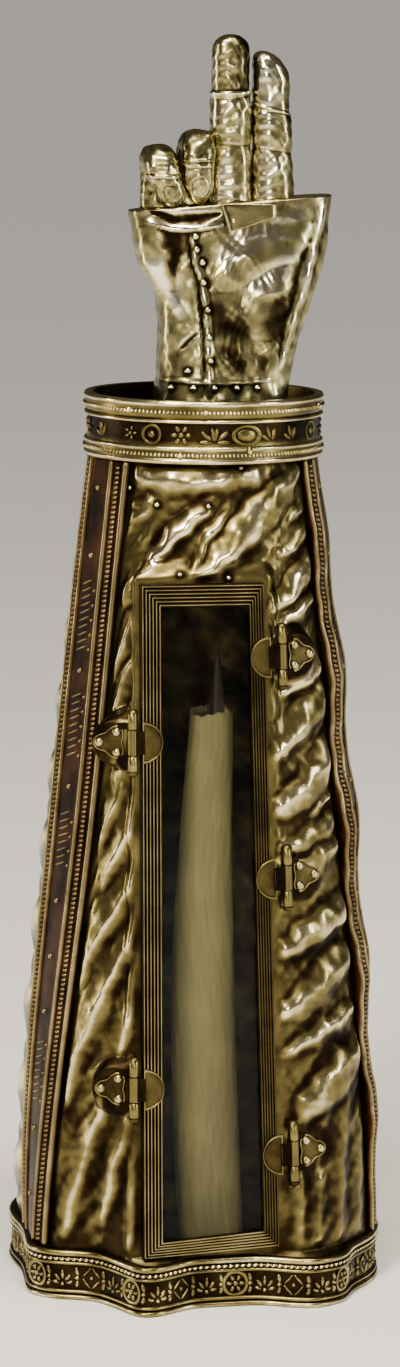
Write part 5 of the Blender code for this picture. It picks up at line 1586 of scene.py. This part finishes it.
def raised_finger(form, hammer_depth):
    """One straight finger: creased joints, a lapped upper sheet, a blunt tip and a nail behind.

    Its rows are superellipses times a girth that tapers from 1 at the foot. Bell curves of the
    share of its length draw it in at the joints and fill its pads in front. The tip closes by
    the root of 1 less a power of the way through it, and a higher power is blunter.
    """
    tip_rows = 1.0 - 0.14 * np.linspace(1.0, 0.03, 34) ** 1.6
    share = np.concatenate((np.linspace(0.0, FINGER_TIP_START, 110, endpoint=False), tip_rows))[:, None]
    columns = 72
    angle = circle(columns, 0.5)
    girth = mix(1.0, FINGER_TAPER, share) * np.ones((1, columns))
    front = 0.5 + 0.5 * np.cos(angle)[None, :]
    for joint in form["joints"]:
        girth -= swelling(share - joint, JOINT_WAIST) * (0.35 + 0.65 * front)
        wander = 0.008 * np.sin(angle * 2.0 + joint * 9.0)[None, :]
        girth -= swelling(share - joint - wander, JOINT_CREASE) * front
    girth += sum(swelling(share - pad, FINGER_PAD) for pad in FINGER_PAD_PLACES) * front
    past_lap = share - form["sleeve"]
    below_lap = 1.0 - smooth(past_lap / 0.004)
    girth += LAP_STEP * below_lap + swelling(past_lap + LAP_LIP[1], LAP_LIP)
    girth += swelling(share, FOOT_FLARE) - TIP_SHEET_DROP * (1.0 - below_lap)
    nail = nail_field(angle, share, *RAISED_NAIL)
    nail_rise = 0.045 * (1.0 - smooth((nail - 0.75) / 0.2)) - 0.05 * bell(nail - 1.05, 0.12)
    girth += np.where(np.cos(angle)[None, :] < -0.3, nail_rise, 0.0)
    into_tip = np.maximum(0.0, share - FINGER_TIP_START) / (1.0 - FINGER_TIP_START)
    closing = np.sqrt(np.maximum(1e-4, 1.0 - into_tip ** form["flat_tip"]))
    oval = oval_radius(angle[None, :], form["half_width"], form["half_depth"], FINGER_SQUARENESS)
    radius = oval * (girth * closing)
    centre = form["x"] + form["lean"] * share
    x = centre + radius * np.sin(angle)
    y = FINGER_Y - radius * np.cos(angle)
    tip = palm_top(form["x"]) + form["length"]
    slant = form["slant"] * (x - centre) / form["half_width"] * smooth(share)
    z = mix(palm_top(x) + CLEARANCE, tip, share) - slant
    plain = np.stack((x, y, z), axis=-1)
    dents = crumpled(plain, hammer_depth * 0.85, *RAISED_DENTS) * smooth(share / 0.03)
    away = unit(np.stack((x - centre, y - FINGER_Y, np.zeros_like(x)), axis=-1))
    # Painted light: a sine of the angle darkens the right flank and lightens the left, and the tip above the
    # lap gains its painted shade in front
    shade = hollows(girth * 0.009 + dents, 6, 0.0007) + 0.20 * np.sin(angle - 0.6)
    shade = shade + form["tip_painted_shade"] * (1.0 - below_lap) * front
    return loft(plain + away * dents[..., None], np.clip(shade, 0.0, 1.0))


def folded_finger(form, hammer_depth):
    """One finger bent right over: up from the palm, round the knuckle and down to its nail.

    Its path is a straight rise, half a circle and a straight fall; each step of it is x, y, z, the
    direction away from the bend's middle in y and z, and the girth. Across the path its rows are
    superellipses times the girth, less bell curves at the creases and more at the knuckle.
    """
    bend, thickness = FOLDED_SPREAD / 2.0, FOLDED_HALF_THICKNESS
    base = palm_top(form["x"])
    knuckle = base + form["rise"] - bend - thickness
    foot, tip = base + CLEARANCE, base + FOLDED_TIP_GAP
    straight, arc, columns = 20, 49, 64
    path = [(0.0, FOLDED_MIDDLE_Y + bend, mix(foot, knuckle, k / straight), 1.0, 0.0, 1.0)
            for k in range(straight)]
    for k in range(arc + 1):
        t = math.pi * k / arc
        path.append((form["lean"] * math.sin(t), FOLDED_MIDDLE_Y + bend * math.cos(t),
                     knuckle + bend * math.sin(t), math.cos(t), math.sin(t), 1.0))
    for fall in 1.0 - np.linspace(1.0, 0.02, 50) ** 1.7:
        slimmed = 1.0 - max(0.0, fall - 0.55) ** 2.2 * 3.6
        closing = math.sqrt(max(1e-3, 1.0 - max(0.0, fall - 0.8) ** 2 * 24.0))
        path.append((form["tip_lean"] * smooth(fall * 1.6), FOLDED_MIDDLE_Y - bend, mix(knuckle, tip, fall),
                     -1.0, 0.0, slimmed * closing * (1.0 - 0.14 * smooth(fall * 1.5))))
    steps = np.array(path)
    angle = circle(columns, 0.5)
    run = run_along(steps[:, :3])
    share = (run / run[-1])[:, None]
    outside = 0.5 - 0.5 * np.cos(angle)[None, :]
    girth = steps[:, 5:6] * np.ones((1, columns))
    for crease, depth in FOLDED_CREASES:
        girth -= swelling(share - crease, (depth, FOLDED_CREASE_REACH)) * outside
    girth += swelling(share - FOLDED_KNUCKLE_PLACE, FOLDED_KNUCKLE) * outside
    nail = nail_field(angle, share, *FOLDED_NAIL)
    nail_rise = 0.022 * (1.0 - smooth((nail - 0.70) / 0.3)) - 0.020 * bell(nail - 1.08, 0.16)
    girth += np.where(outside > 0.6, nail_rise, 0.0)
    radius = oval_radius(angle[None, :], form["half_width"], thickness, FINGER_SQUARENESS) * girth
    radial = np.stack((np.zeros(len(steps)), steps[:, 3], steps[:, 4]), axis=-1)[:, None, :]
    centre = np.stack((form["x"] + steps[:, 0], steps[:, 1], steps[:, 2]), axis=-1)[:, None, :]
    beside = np.array((1.0, 0.0, 0.0)) * (radius * np.sin(angle))[..., None]
    sections = centre + beside - radial * (radius * np.cos(angle))[..., None]
    sections[0, :, 2] = palm_top(sections[0, :, 0]) + CLEARANCE
    rise = sections[:straight]
    rise[..., 2] = np.maximum(rise[..., 2], palm_top(rise[..., 0]) + CLEARANCE)
    dents = crumpled(sections, hammer_depth * 0.75, *FOLDED_DENTS) * smooth(share / 0.06)
    sections = sections + unit(sections - centre) * dents[..., None]
    return loft(sections, hollows(girth * 0.0075 + dents, 5, 0.0006))


def cuff_plate(rivet_radius):
    """Small pointed plate with a rivet on the palm's front, under the raised fingers.

    It leans with the palm's upper front and its outline runs straight between four corners.
    """
    low_row, high_row = PALM_ROWS[-3], PALM_ROWS[-1]
    rise = palm_top(CUFF_PLATE_X) - palm_bottom() - low_row[0]
    lean = math.atan2(low_row[3] - high_row[3], rise)
    top = Vector((CUFF_PLATE_X, PALM_MIDDLE_Y - high_row[3], palm_top(CUFF_PLATE_X)))
    placing = Matrix.Translation(top) @ Matrix.Rotation(-lean, 4, "X")
    half = CUFF_PLATE_HALF_WIDTH
    corners = np.array(((-half, -CUFF_PLATE_TOP_GAP), (CUFF_PLATE_POINT_X, -CUFF_PLATE_DROP),
                        (half, -CUFF_PLATE_SIDE_DROP), (half, -CUFF_PLATE_TOP_GAP)))
    steps = np.arange(8)[:, None] / 8
    outline = np.concatenate([mix(corners[k], corners[(k + 1) % 4], steps) for k in range(4)])
    gap = CLEARANCE * 2.0
    plate = pillow(outline, placing, -gap, CUFF_PLATE_THICKNESS, 0.3, 0.80, 0.48)
    spot = np.array(((CUFF_NAIL[0], -gap - CUFF_PLATE_THICKNESS * 1.1, CUFF_NAIL[1]),))
    return join((plate, nails(placing, spot, rivet_radius, rivet_radius * 0.8)))


# Finishes

def linear(code):
    """Linear RGBA of an sRGB hex colour."""
    parts = [int(code[k:k + 2], 16) / 255.0 for k in (1, 3, 5)]
    return tuple(p / 12.92 if p <= 0.04045 else ((p + 0.055) / 1.055) ** 2.4 for p in parts) + (1.0,)


def feed(tree, node, inputs):
    """Give a node's inputs their values: a constant, or the output of another node."""
    for name, value in inputs.items():
        if isinstance(value, bpy.types.NodeSocket):
            tree.links.new(value, node.inputs[name])
        else:
            node.inputs[name].default_value = value


def add_node(tree, kind, inputs, stops=(), **settings):
    """One node with its settings, links and colour stops, given as (place, linear RGBA)."""
    node = tree.nodes.new(kind)
    for name, value in settings.items():
        setattr(node, name, value)
    feed(tree, node, inputs)
    for k, (spot, colour) in enumerate(stops):
        marks = node.color_ramp.elements
        mark = marks[k] if k < len(marks) else marks.new(spot)
        mark.position = spot
        mark.color = colour
    return node


def new_finish(name):
    """The node tree, shader and Object coordinates of a new material."""
    made = bpy.data.materials.new(name)
    made.use_nodes = True
    tree = made.node_tree
    place_in = add_node(tree, "ShaderNodeTexCoord", {}).outputs["Object"]
    return tree, tree.nodes["Principled BSDF"], place_in


def add_hollow(tree):
    """How sunk the surface lies, with painted shade and highlights added in places, as its mesh says."""
    return add_node(tree, "ShaderNodeAttribute", {}, attribute_name="hollow").outputs["Fac"]


def add_noise(tree, vector, per_metre, detail, roughness):
    """Value of a noise whose scale comes from a real size."""
    return add_node(tree, "ShaderNodeTexNoise", {
        "Vector": vector, "Scale": per_metre, "Detail": detail, "Roughness": roughness}).outputs["Fac"]


def add_scaled(tree, value, factor, added, **settings):
    """A value times a factor, plus what is added to it."""
    return add_node(tree, "ShaderNodeMath", {0: value, 1: factor, 2: added},
                    operation="MULTIPLY_ADD", **settings).outputs[0]


# Tarnish gathers in blotches of about 18 mm and specks of about 1.1 mm, hammer marks are about 6 mm,
# a bone's stains about 14 mm and its fibres about 2.2 mm. A noise lies about its middle value
BLOTCH_PER_METRE = 1.0 / 0.018
SPECK_PER_METRE = 1.0 / 0.0011
HAMMER_PER_METRE = 1.0 / 0.006
STAIN_PER_METRE = 1.0 / 0.014
FIBRE_PER_METRE = 1.0 / 0.0022
NOISE_MIDDLE = 0.53
HAMMER_BUMP = 0.0007
FIBRE_BUMP = 0.0005
ALONG_GRAIN = (1.0, 1.0, 0.10)
# Colour of the deepest hollow values: old dirt, and painted shade where the meshes add it
OLD_DIRT_AND_SHADE = "#150e07"
GLASS_INDEX = 1.15


def worn_silver(name, crest_colour, sheet_colour, hollow_colour, roughness, darkening, mottle, hammer):
    """Silver gilt, embossed by hand and never lacquered: crests are rubbed bright, hollows are brown.

    How sunk the sheet lies, with the painted shade and highlights that some meshes add, plus blotches
    and specks of noise, picks the colour from pale gold to brown and raises the roughness; shallow
    hammer marks bend the highlights. Roughness is the crests', darkening moves the whole sheet towards
    brown, and mottle is how strong blotches are.
    """
    tree, shader, place_in = new_finish(name)
    sunk = add_hollow(tree)
    blotch = add_noise(tree, place_in, BLOTCH_PER_METRE, 3.0, 0.55)
    speck = add_noise(tree, place_in, SPECK_PER_METRE, 2.0, 0.6)
    marks = add_noise(tree, place_in, HAMMER_PER_METRE, 1.5, 0.5)
    tarnish = add_scaled(tree, blotch, mottle, darkening - NOISE_MIDDLE * mottle)
    specked = add_scaled(tree, speck, 0.10, tarnish)
    depth = add_node(tree, "ShaderNodeMath", {0: specked, 1: sunk},
                     operation="ADD", use_clamp=True).outputs[0]
    between = tuple(0.45 * a + 0.55 * b for a, b in zip(sheet_colour, hollow_colour))
    colour = add_node(tree, "ShaderNodeValToRGB", {"Fac": depth}, (
        (0.14, crest_colour), (0.46, sheet_colour), (0.66, between), (0.82, hollow_colour),
        (0.99, linear(OLD_DIRT_AND_SHADE)))).outputs["Color"]
    rough = add_scaled(tree, depth, 0.28, roughness)
    bump = add_node(tree, "ShaderNodeBump", {"Height": marks, "Strength": hammer, "Distance": HAMMER_BUMP})
    feed(tree, shader, {"Base Color": colour, "Metallic": 1.0, "Roughness": rough,
                        "Normal": bump.outputs["Normal"]})


def aged_bone(bone_colour, stain_colour):
    """Old dry bone: khaki and matt, stained brown along its grain, with fine vessel lines.

    Both noises are stretched ten times along the shaft, so that stains and lines run with it.
    """
    tree, shader, place_in = new_finish("aged_bone")
    sunk = add_hollow(tree)
    along = add_node(tree, "ShaderNodeMapping", {"Vector": place_in, "Scale": ALONG_GRAIN}).outputs["Vector"]
    stain = add_noise(tree, along, STAIN_PER_METRE, 5.0, 0.6)
    fibre = add_noise(tree, along, FIBRE_PER_METRE, 3.0, 0.6)
    stained = add_scaled(tree, stain, 0.5, -0.24)
    lined = add_scaled(tree, fibre, 0.12, stained)
    depth = add_scaled(tree, sunk, 0.85, lined, use_clamp=True)
    between = tuple(0.6 * a + 0.4 * b for a, b in zip(bone_colour, stain_colour))
    colour = add_node(tree, "ShaderNodeValToRGB", {"Fac": depth}, (
        (0.20, bone_colour), (0.55, between), (0.78, stain_colour))).outputs["Color"]
    bump = add_node(tree, "ShaderNodeBump", {"Height": fibre, "Strength": 0.4, "Distance": FIBRE_BUMP})
    feed(tree, shader, {"Base Color": colour, "Metallic": 0.0, "Roughness": 0.62,
                        "Normal": bump.outputs["Normal"]})


def window_glass(glass_colour):
    """Old window glass, thin and clear: plain values, so that the relic shows through it.

    The refractive index is set low, because at the usual value the pale floor's reflection veils
    the bone.
    """
    tree, shader, _ = new_finish("window_glass")
    feed(tree, shader, {"Base Color": glass_colour, "Metallic": 0.0, "Roughness": 0.0,
                        "Transmission Weight": 1.0, "IOR": GLASS_INDEX, "Specular IOR Level": 0.2})


def opaque(colour):
    """RGBA of a setting's colour."""
    return tuple(colour) + (1.0,)


def make_finishes(settings):
    """Make every finish of the object from the chosen colours."""
    gilt, hand, band, inside, bone_pair = (
        [opaque(colour) for colour in family] for family in (
            (settings.gilt_crest, settings.gilt_sheet, settings.gilt_hollow),
            (settings.hand_crest, settings.hand_sheet, settings.hand_hollow),
            (settings.band_crest, settings.band_sheet, settings.band_hollow),
            (settings.gilt_sheet, settings.gilt_hollow, settings.gilt_hollow),
            (settings.bone_colour, settings.bone_stain)))
    worn_silver("embossed_gilt_silver", *gilt, roughness=0.14, darkening=0.0, mottle=0.75, hammer=0.30)
    worn_silver("tarnished_gilt_silver", *gilt, roughness=0.17, darkening=0.12, mottle=0.45, hammer=0.20)
    worn_silver("hammered_hand_silver", *hand, roughness=0.10, darkening=0.04, mottle=0.95, hammer=0.14)
    # The bands' finish is darkened: tarnish, and painted shade for the right band, which lies in shade
    worn_silver("chased_band_silver", *band, roughness=0.18, darkening=0.12, mottle=0.55, hammer=0.25)
    worn_silver("dark_floor_silver", *inside, roughness=0.40, darkening=0.10, mottle=0.55, hammer=0.25)
    aged_bone(*bone_pair)
    window_glass(opaque(settings.glass_colour))


def refinish(node, finish):
    """Give a CAD node that stays visible one of the scene's finishes."""
    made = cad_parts[node]
    made.data.materials.clear()
    made.data.materials.append(bpy.data.materials[finish])
    level = made.data.attributes.new("hollow", "FLOAT", "POINT")
    level.data.foreach_set("value", np.full(len(made.data.vertices), CAD_NODE_HOLLOW, np.float32))


# Stage: wide pale floor, soft light and the photograph's camera

# Lights as name, place, size in metres, power in watts and colour
STUDIO_LIGHTS = (
    ("key", (-1.1, -1.6, 1.7), (0.36, 0.48), 64.0, "#fff4e2"),
    ("fill", (1.7, -1.3, 0.9), (0.22, 1.2), 26.0, "#f1f3f4"),
    ("front", (-0.2, -2.6, 0.9), (0.5, 0.4), 17.0, "#fff8ec"),
    ("edge", (-1.7, 0.5, 0.5), (0.20, 1.2), 14.0, "#fff4e2"),
    ("above", (0.15, -0.65, 2.3), (0.45, 0.35), 44.0, "#fff6e6"),
)
SUN_FROM = (-0.35, -0.50, 1.0)
SUN_WIDTH = math.radians(24.0)
SUN_STRENGTH = 1.8
FLOOR_REACH = 60.0


def aim(thing, target):
    """Turn a light so that it shines at a target."""
    thing.rotation_euler = (Vector(target) - thing.location).to_track_quat("-Z", "Y").to_euler()


def add_light(name, place_at, target, size, power, colour):
    """Rectangular soft light, aimed at a target, that the camera doesn't see itself."""
    data = bpy.data.lights.new(name, "AREA")
    data.shape = "RECTANGLE"
    data.size, data.size_y = size
    data.energy = power
    data.color = linear(colour)[:3]
    made = add_object(name, data)
    made.location = place_at
    made.visible_camera = False
    aim(made, target)


def add_sun(strength):
    """Wide soft light from high on the left, which lights the floor evenly."""
    data = bpy.data.lights.new("daylight", "SUN")
    data.energy = strength
    data.angle = SUN_WIDTH
    made = add_object("daylight", data)
    made.location = SUN_FROM
    aim(made, (0.0, 0.0, 0.0))


def add_floor(floor_colour):
    """Plain flat floor, wide enough to fill the picture from any side."""
    reach = FLOOR_REACH
    corners = [(-reach, -reach, 0.0), (reach, -reach, 0.0), (reach, reach, 0.0), (-reach, reach, 0.0)]
    mesh = bpy.data.meshes.new("floor")
    mesh.from_pydata(corners, [], [(0, 1, 2, 3)])
    tree, shader, _ = new_finish("pale_plaster")
    feed(tree, shader, {"Base Color": floor_colour, "Roughness": 0.85, "Specular IOR Level": 0.1})
    mesh.materials.append(bpy.data.materials["pale_plaster"])
    return add_object("floor", mesh)


def add_camera():
    """Camera at the photograph's place, turned by its own roll."""
    right, up, back, place_at = camera_axes()
    data = bpy.data.cameras.new("camera")
    data.sensor_width = SENSOR_WIDTH
    data.lens = PIXELS_PER_METRE * CAMERA_DISTANCE / max(PICTURE_WIDTH, PICTURE_HEIGHT) * SENSOR_WIDTH
    made = add_object("camera", data)
    axes = Matrix((right, up, back)).transposed().to_4x4()
    made.matrix_world = Matrix.Translation(Vector(place_at)) @ axes
    bpy.context.scene.camera = made


def add_world(surround_colour, strength):
    """Even light of one colour from all round."""
    world = bpy.data.worlds.new("studio")
    world.use_nodes = True
    background = world.node_tree.nodes["Background"]
    background.inputs["Color"].default_value = surround_colour
    background.inputs["Strength"].default_value = strength
    bpy.context.scene.world = world


# Add-on: settings, one operator for each group of pieces and for the stage, and a panel

class ReliquarySettings(bpy.types.PropertyGroup):
    """Sizes, colours and brightness that a user would change"""
    fold_height: bpy.props.FloatProperty(
        name="Fold height", description="Height of the drapery's embossed folds against their usual height",
        subtype="FACTOR", default=1.0, min=0.0, max=1.2)
    hammer_depth: bpy.props.FloatProperty(
        name="Hammer depth", description="Depth of the hammer marks on the hand and the sleeve",
        unit="LENGTH", precision=5, default=0.0005, min=0.0, max=0.001)
    rivet_radius: bpy.props.FloatProperty(
        name="Rivet radius", description="Radius of the rivet heads",
        unit="LENGTH", precision=5, default=0.0013, min=0.0005, max=0.002)
    bead_pitch: bpy.props.FloatProperty(
        name="Bead pitch", description="Distance from bead to bead in the bead rows",
        unit="LENGTH", precision=5, default=0.0024, min=0.0016, max=0.005)
    ornament_height: bpy.props.FloatProperty(
        name="Ornament height", description="Height of the ornaments in the friezes",
        unit="LENGTH", precision=5, default=0.0009, min=0.0002, max=0.0014)
    foot_ornaments: bpy.props.IntProperty(
        name="Foot ornaments", description="Number of ornaments round the foot band",
        default=40, min=8, max=48)
    gilt_crest: bpy.props.FloatVectorProperty(
        name="Gilt crest", description="Colour of the gilt silver where it is rubbed bright",
        subtype="COLOR", size=3, min=0.0, max=1.0, default=linear("#fdedbb")[:3])
    gilt_sheet: bpy.props.FloatVectorProperty(
        name="Gilt sheet", description="Colour of the gilt silver's level sheet",
        subtype="COLOR", size=3, min=0.0, max=1.0, default=linear("#7f7343")[:3])
    gilt_hollow: bpy.props.FloatVectorProperty(
        name="Gilt hollow", description="Colour of the tarnish in the gilt silver's hollows",
        subtype="COLOR", size=3, min=0.0, max=1.0, default=linear("#2f2412")[:3])
    hand_crest: bpy.props.FloatVectorProperty(
        name="Hand crest", description="Colour of the hand where it is rubbed bright",
        subtype="COLOR", size=3, min=0.0, max=1.0, default=linear("#fdf4d4")[:3])
    hand_sheet: bpy.props.FloatVectorProperty(
        name="Hand sheet", description="Colour of the hand's level sheet",
        subtype="COLOR", size=3, min=0.0, max=1.0, default=linear("#aca26e")[:3])
    hand_hollow: bpy.props.FloatVectorProperty(
        name="Hand hollow", description="Colour of the tarnish in the hand's hollows",
        subtype="COLOR", size=3, min=0.0, max=1.0, default=linear("#38301b")[:3])
    band_crest: bpy.props.FloatVectorProperty(
        name="Band crest", description="Colour of the side bands where they are rubbed bright",
        subtype="COLOR", size=3, min=0.0, max=1.0, default=linear("#cdb88c")[:3])
    band_sheet: bpy.props.FloatVectorProperty(
        name="Band sheet", description="Colour of the side bands' level sheet",
        subtype="COLOR", size=3, min=0.0, max=1.0, default=linear("#74663f")[:3])
    # The panels' red-brown is partly tarnish and partly a painted reflection of red surroundings
    band_hollow: bpy.props.FloatVectorProperty(
        name="Band hollow", description="Colour of the tarnish in the side bands' panels",
        subtype="COLOR", size=3, min=0.0, max=1.0, default=linear("#3f2413")[:3])
    bone_colour: bpy.props.FloatVectorProperty(
        name="Bone", description="Colour of the clean bone",
        subtype="COLOR", size=3, min=0.0, max=1.0, default=linear("#887e52")[:3])
    bone_stain: bpy.props.FloatVectorProperty(
        name="Bone stain", description="Colour of the stained bone",
        subtype="COLOR", size=3, min=0.0, max=1.0, default=linear("#26120a")[:3])
    glass_colour: bpy.props.FloatVectorProperty(
        name="Glass", description="Tint of the window glass",
        subtype="COLOR", size=3, min=0.0, max=1.0, default=linear("#f4f6ef")[:3])
    floor_colour: bpy.props.FloatVectorProperty(
        name="Floor", description="Colour of the floor",
        subtype="COLOR", size=3, min=0.0, max=1.0, default=linear("#e6e3dc")[:3])
    surround_colour: bpy.props.FloatVectorProperty(
        name="Surround colour", description="Colour of the light from all round",
        subtype="COLOR", size=3, min=0.0, max=1.0, default=linear("#8f8474")[:3])
    light: bpy.props.FloatProperty(
        name="Light", description="Brightness of the studio lights against their usual brightness",
        subtype="FACTOR", default=1.0, min=0.0, max=4.0)
    surround: bpy.props.FloatProperty(
        name="Surround", description="Brightness of the light from all round",
        subtype="FACTOR", default=0.30, min=0.0, max=2.0)


class RELIQUARY_OT_finishes(bpy.types.Operator):
    """Make the worn metal, bone and glass finishes"""
    bl_idname = "reliquary.finishes"
    bl_label = "Make finishes"

    def execute(self, context):
        make_finishes(context.scene.reliquary)
        return {"FINISHED"}


class RELIQUARY_OT_sleeve(bpy.types.Operator):
    """Build the embossed sleeve and its side bands, and finish its floor"""
    bl_idname = "reliquary.sleeve"
    bl_label = "Build sleeve"

    def execute(self, context):
        chosen = context.scene.reliquary
        front = drapery_front(chosen.fold_height, chosen.hammer_depth, chosen.rivet_radius)
        put("drapery_front", front, "embossed_gilt_silver", ["sleeve"])
        put("drapery_back", drapery_back(chosen.fold_height), "embossed_gilt_silver", ["sleeve"])
        for label, side in (("left", -1.0), ("right", 1.0)):
            band = side_band(f"band_{label}", side, chosen.bead_pitch, chosen.rivet_radius)
            put(f"side_band_{label}", band, "chased_band_silver", [f"band_{label}"])
        refinish("floor_plate", "dark_floor_silver")
        return {"FINISHED"}


class RELIQUARY_OT_mouldings(bpy.types.Operator):
    """Build the foot band and the collar"""
    bl_idname = "reliquary.mouldings"
    bl_label = "Build mouldings"

    def execute(self, context):
        chosen = context.scene.reliquary
        foot = base_band(chosen.foot_ornaments, chosen.ornament_height)
        put("foot_band", foot, "embossed_gilt_silver", ["base_band"], sharp=60.0)
        ring = collar(chosen.bead_pitch, chosen.ornament_height, chosen.rivet_radius)
        put("collar_ring", ring, "embossed_gilt_silver", ["collar"], sharp=60.0)
        return {"FINISHED"}


class RELIQUARY_OT_door(bpy.types.Operator):
    """Build the reeded door frame, the hinges and the catches, and finish the glass"""
    bl_idname = "reliquary.door"
    bl_label = "Build door"

    def execute(self, context):
        chosen = context.scene.reliquary
        put("reeded_frame", door_frame(), "tarnished_gilt_silver", ["door_frame"], rides="door", sharp=40.0)
        refinish("glass_pane", "window_glass")
        for side, label, kind, height in fittings():
            plate = sleeve_leaf(side, height, chosen.rivet_radius)
            put(f"{kind}_{label}_plate", plate, "tarnished_gilt_silver", [f"{kind}_{label}"], sharp=50.0)
            half_disc = door_leaf(side, height)
            put(f"{kind}_{label}_half_disc", half_disc, "tarnished_gilt_silver", [f"{kind}_leaf_{label}"],
                rides="door", sharp=50.0)
        return {"FINISHED"}


class RELIQUARY_OT_relic(bpy.types.Operator):
    """Build the relic bone"""
    bl_idname = "reliquary.relic"
    bl_label = "Build relic"

    def execute(self, context):
        put("bone_shaft", bone(), "aged_bone", ["relic_bone"])
        return {"FINISHED"}


class RELIQUARY_OT_hand(bpy.types.Operator):
    """Build the palm, the raised and folded fingers and the riveted plate"""
    bl_idname = "reliquary.hand"
    bl_label = "Build hand"

    def execute(self, context):
        chosen = context.scene.reliquary
        glove = palm(chosen.hammer_depth, chosen.rivet_radius)
        put("palm_glove", glove, "hammered_hand_silver", ["palm"])
        for name, form in RAISED_FINGERS.items():
            put(name + "_skin", raised_finger(form, chosen.hammer_depth), "hammered_hand_silver", [name])
        for name, form in FOLDED_FINGERS.items():
            put(name + "_skin", folded_finger(form, chosen.hammer_depth), "hammered_hand_silver", [name])
        shield = cuff_plate(chosen.rivet_radius)
        put("cuff_shield", shield, "hammered_hand_silver", ["cuff_plate"], sharp=50.0)
        return {"FINISHED"}


class RELIQUARY_OT_stage(bpy.types.Operator):
    """Lay the floor, hang the lights and set the camera"""
    bl_idname = "reliquary.stage"
    bl_label = "Set stage"

    def execute(self, context):
        chosen = context.scene.reliquary
        add_floor(opaque(chosen.floor_colour))
        target = (0.0, 0.0, CAMERA_AIM_HEIGHT)
        for name, place_at, size, power, colour in STUDIO_LIGHTS:
            add_light(name, place_at, target, size, power * chosen.light, colour)
        add_sun(SUN_STRENGTH * chosen.light)
        add_world(opaque(chosen.surround_colour), chosen.surround)
        add_camera()
        return {"FINISHED"}


class RELIQUARY_PT_panel(bpy.types.Panel):
    """The settings and, below them, the operators"""
    bl_idname = "RELIQUARY_PT_panel"
    bl_label = "Reliquary"
    bl_space_type = "VIEW_3D"
    bl_region_type = "UI"
    bl_category = "Reliquary"

    def draw(self, context):
        chosen = context.scene.reliquary
        for name in ReliquarySettings.__annotations__:
            self.layout.prop(chosen, name)
        for operator in OPERATORS:
            self.layout.operator(operator.bl_idname)


OPERATORS = (RELIQUARY_OT_finishes, RELIQUARY_OT_sleeve, RELIQUARY_OT_mouldings, RELIQUARY_OT_door,
             RELIQUARY_OT_relic, RELIQUARY_OT_hand, RELIQUARY_OT_stage)
CLASSES = (ReliquarySettings, *OPERATORS, RELIQUARY_PT_panel)


def register():
    """Add the classes and the scene's settings."""
    for cls in CLASSES:
        bpy.utils.register_class(cls)
    bpy.types.Scene.reliquary = bpy.props.PointerProperty(type=ReliquarySettings)


def unregister():
    """Take the scene's settings and the classes away."""
    del bpy.types.Scene.reliquary
    for cls in reversed(CLASSES):
        bpy.utils.unregister_class(cls)


def main():
    """Build everything in order."""
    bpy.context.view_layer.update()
    register()
    bpy.ops.reliquary.finishes()
    bpy.ops.reliquary.sleeve()
    bpy.ops.reliquary.mouldings()
    bpy.ops.reliquary.door()
    bpy.ops.reliquary.relic()
    bpy.ops.reliquary.hand()
    bpy.ops.reliquary.stage()


if __name__ == "__main__":
    main()
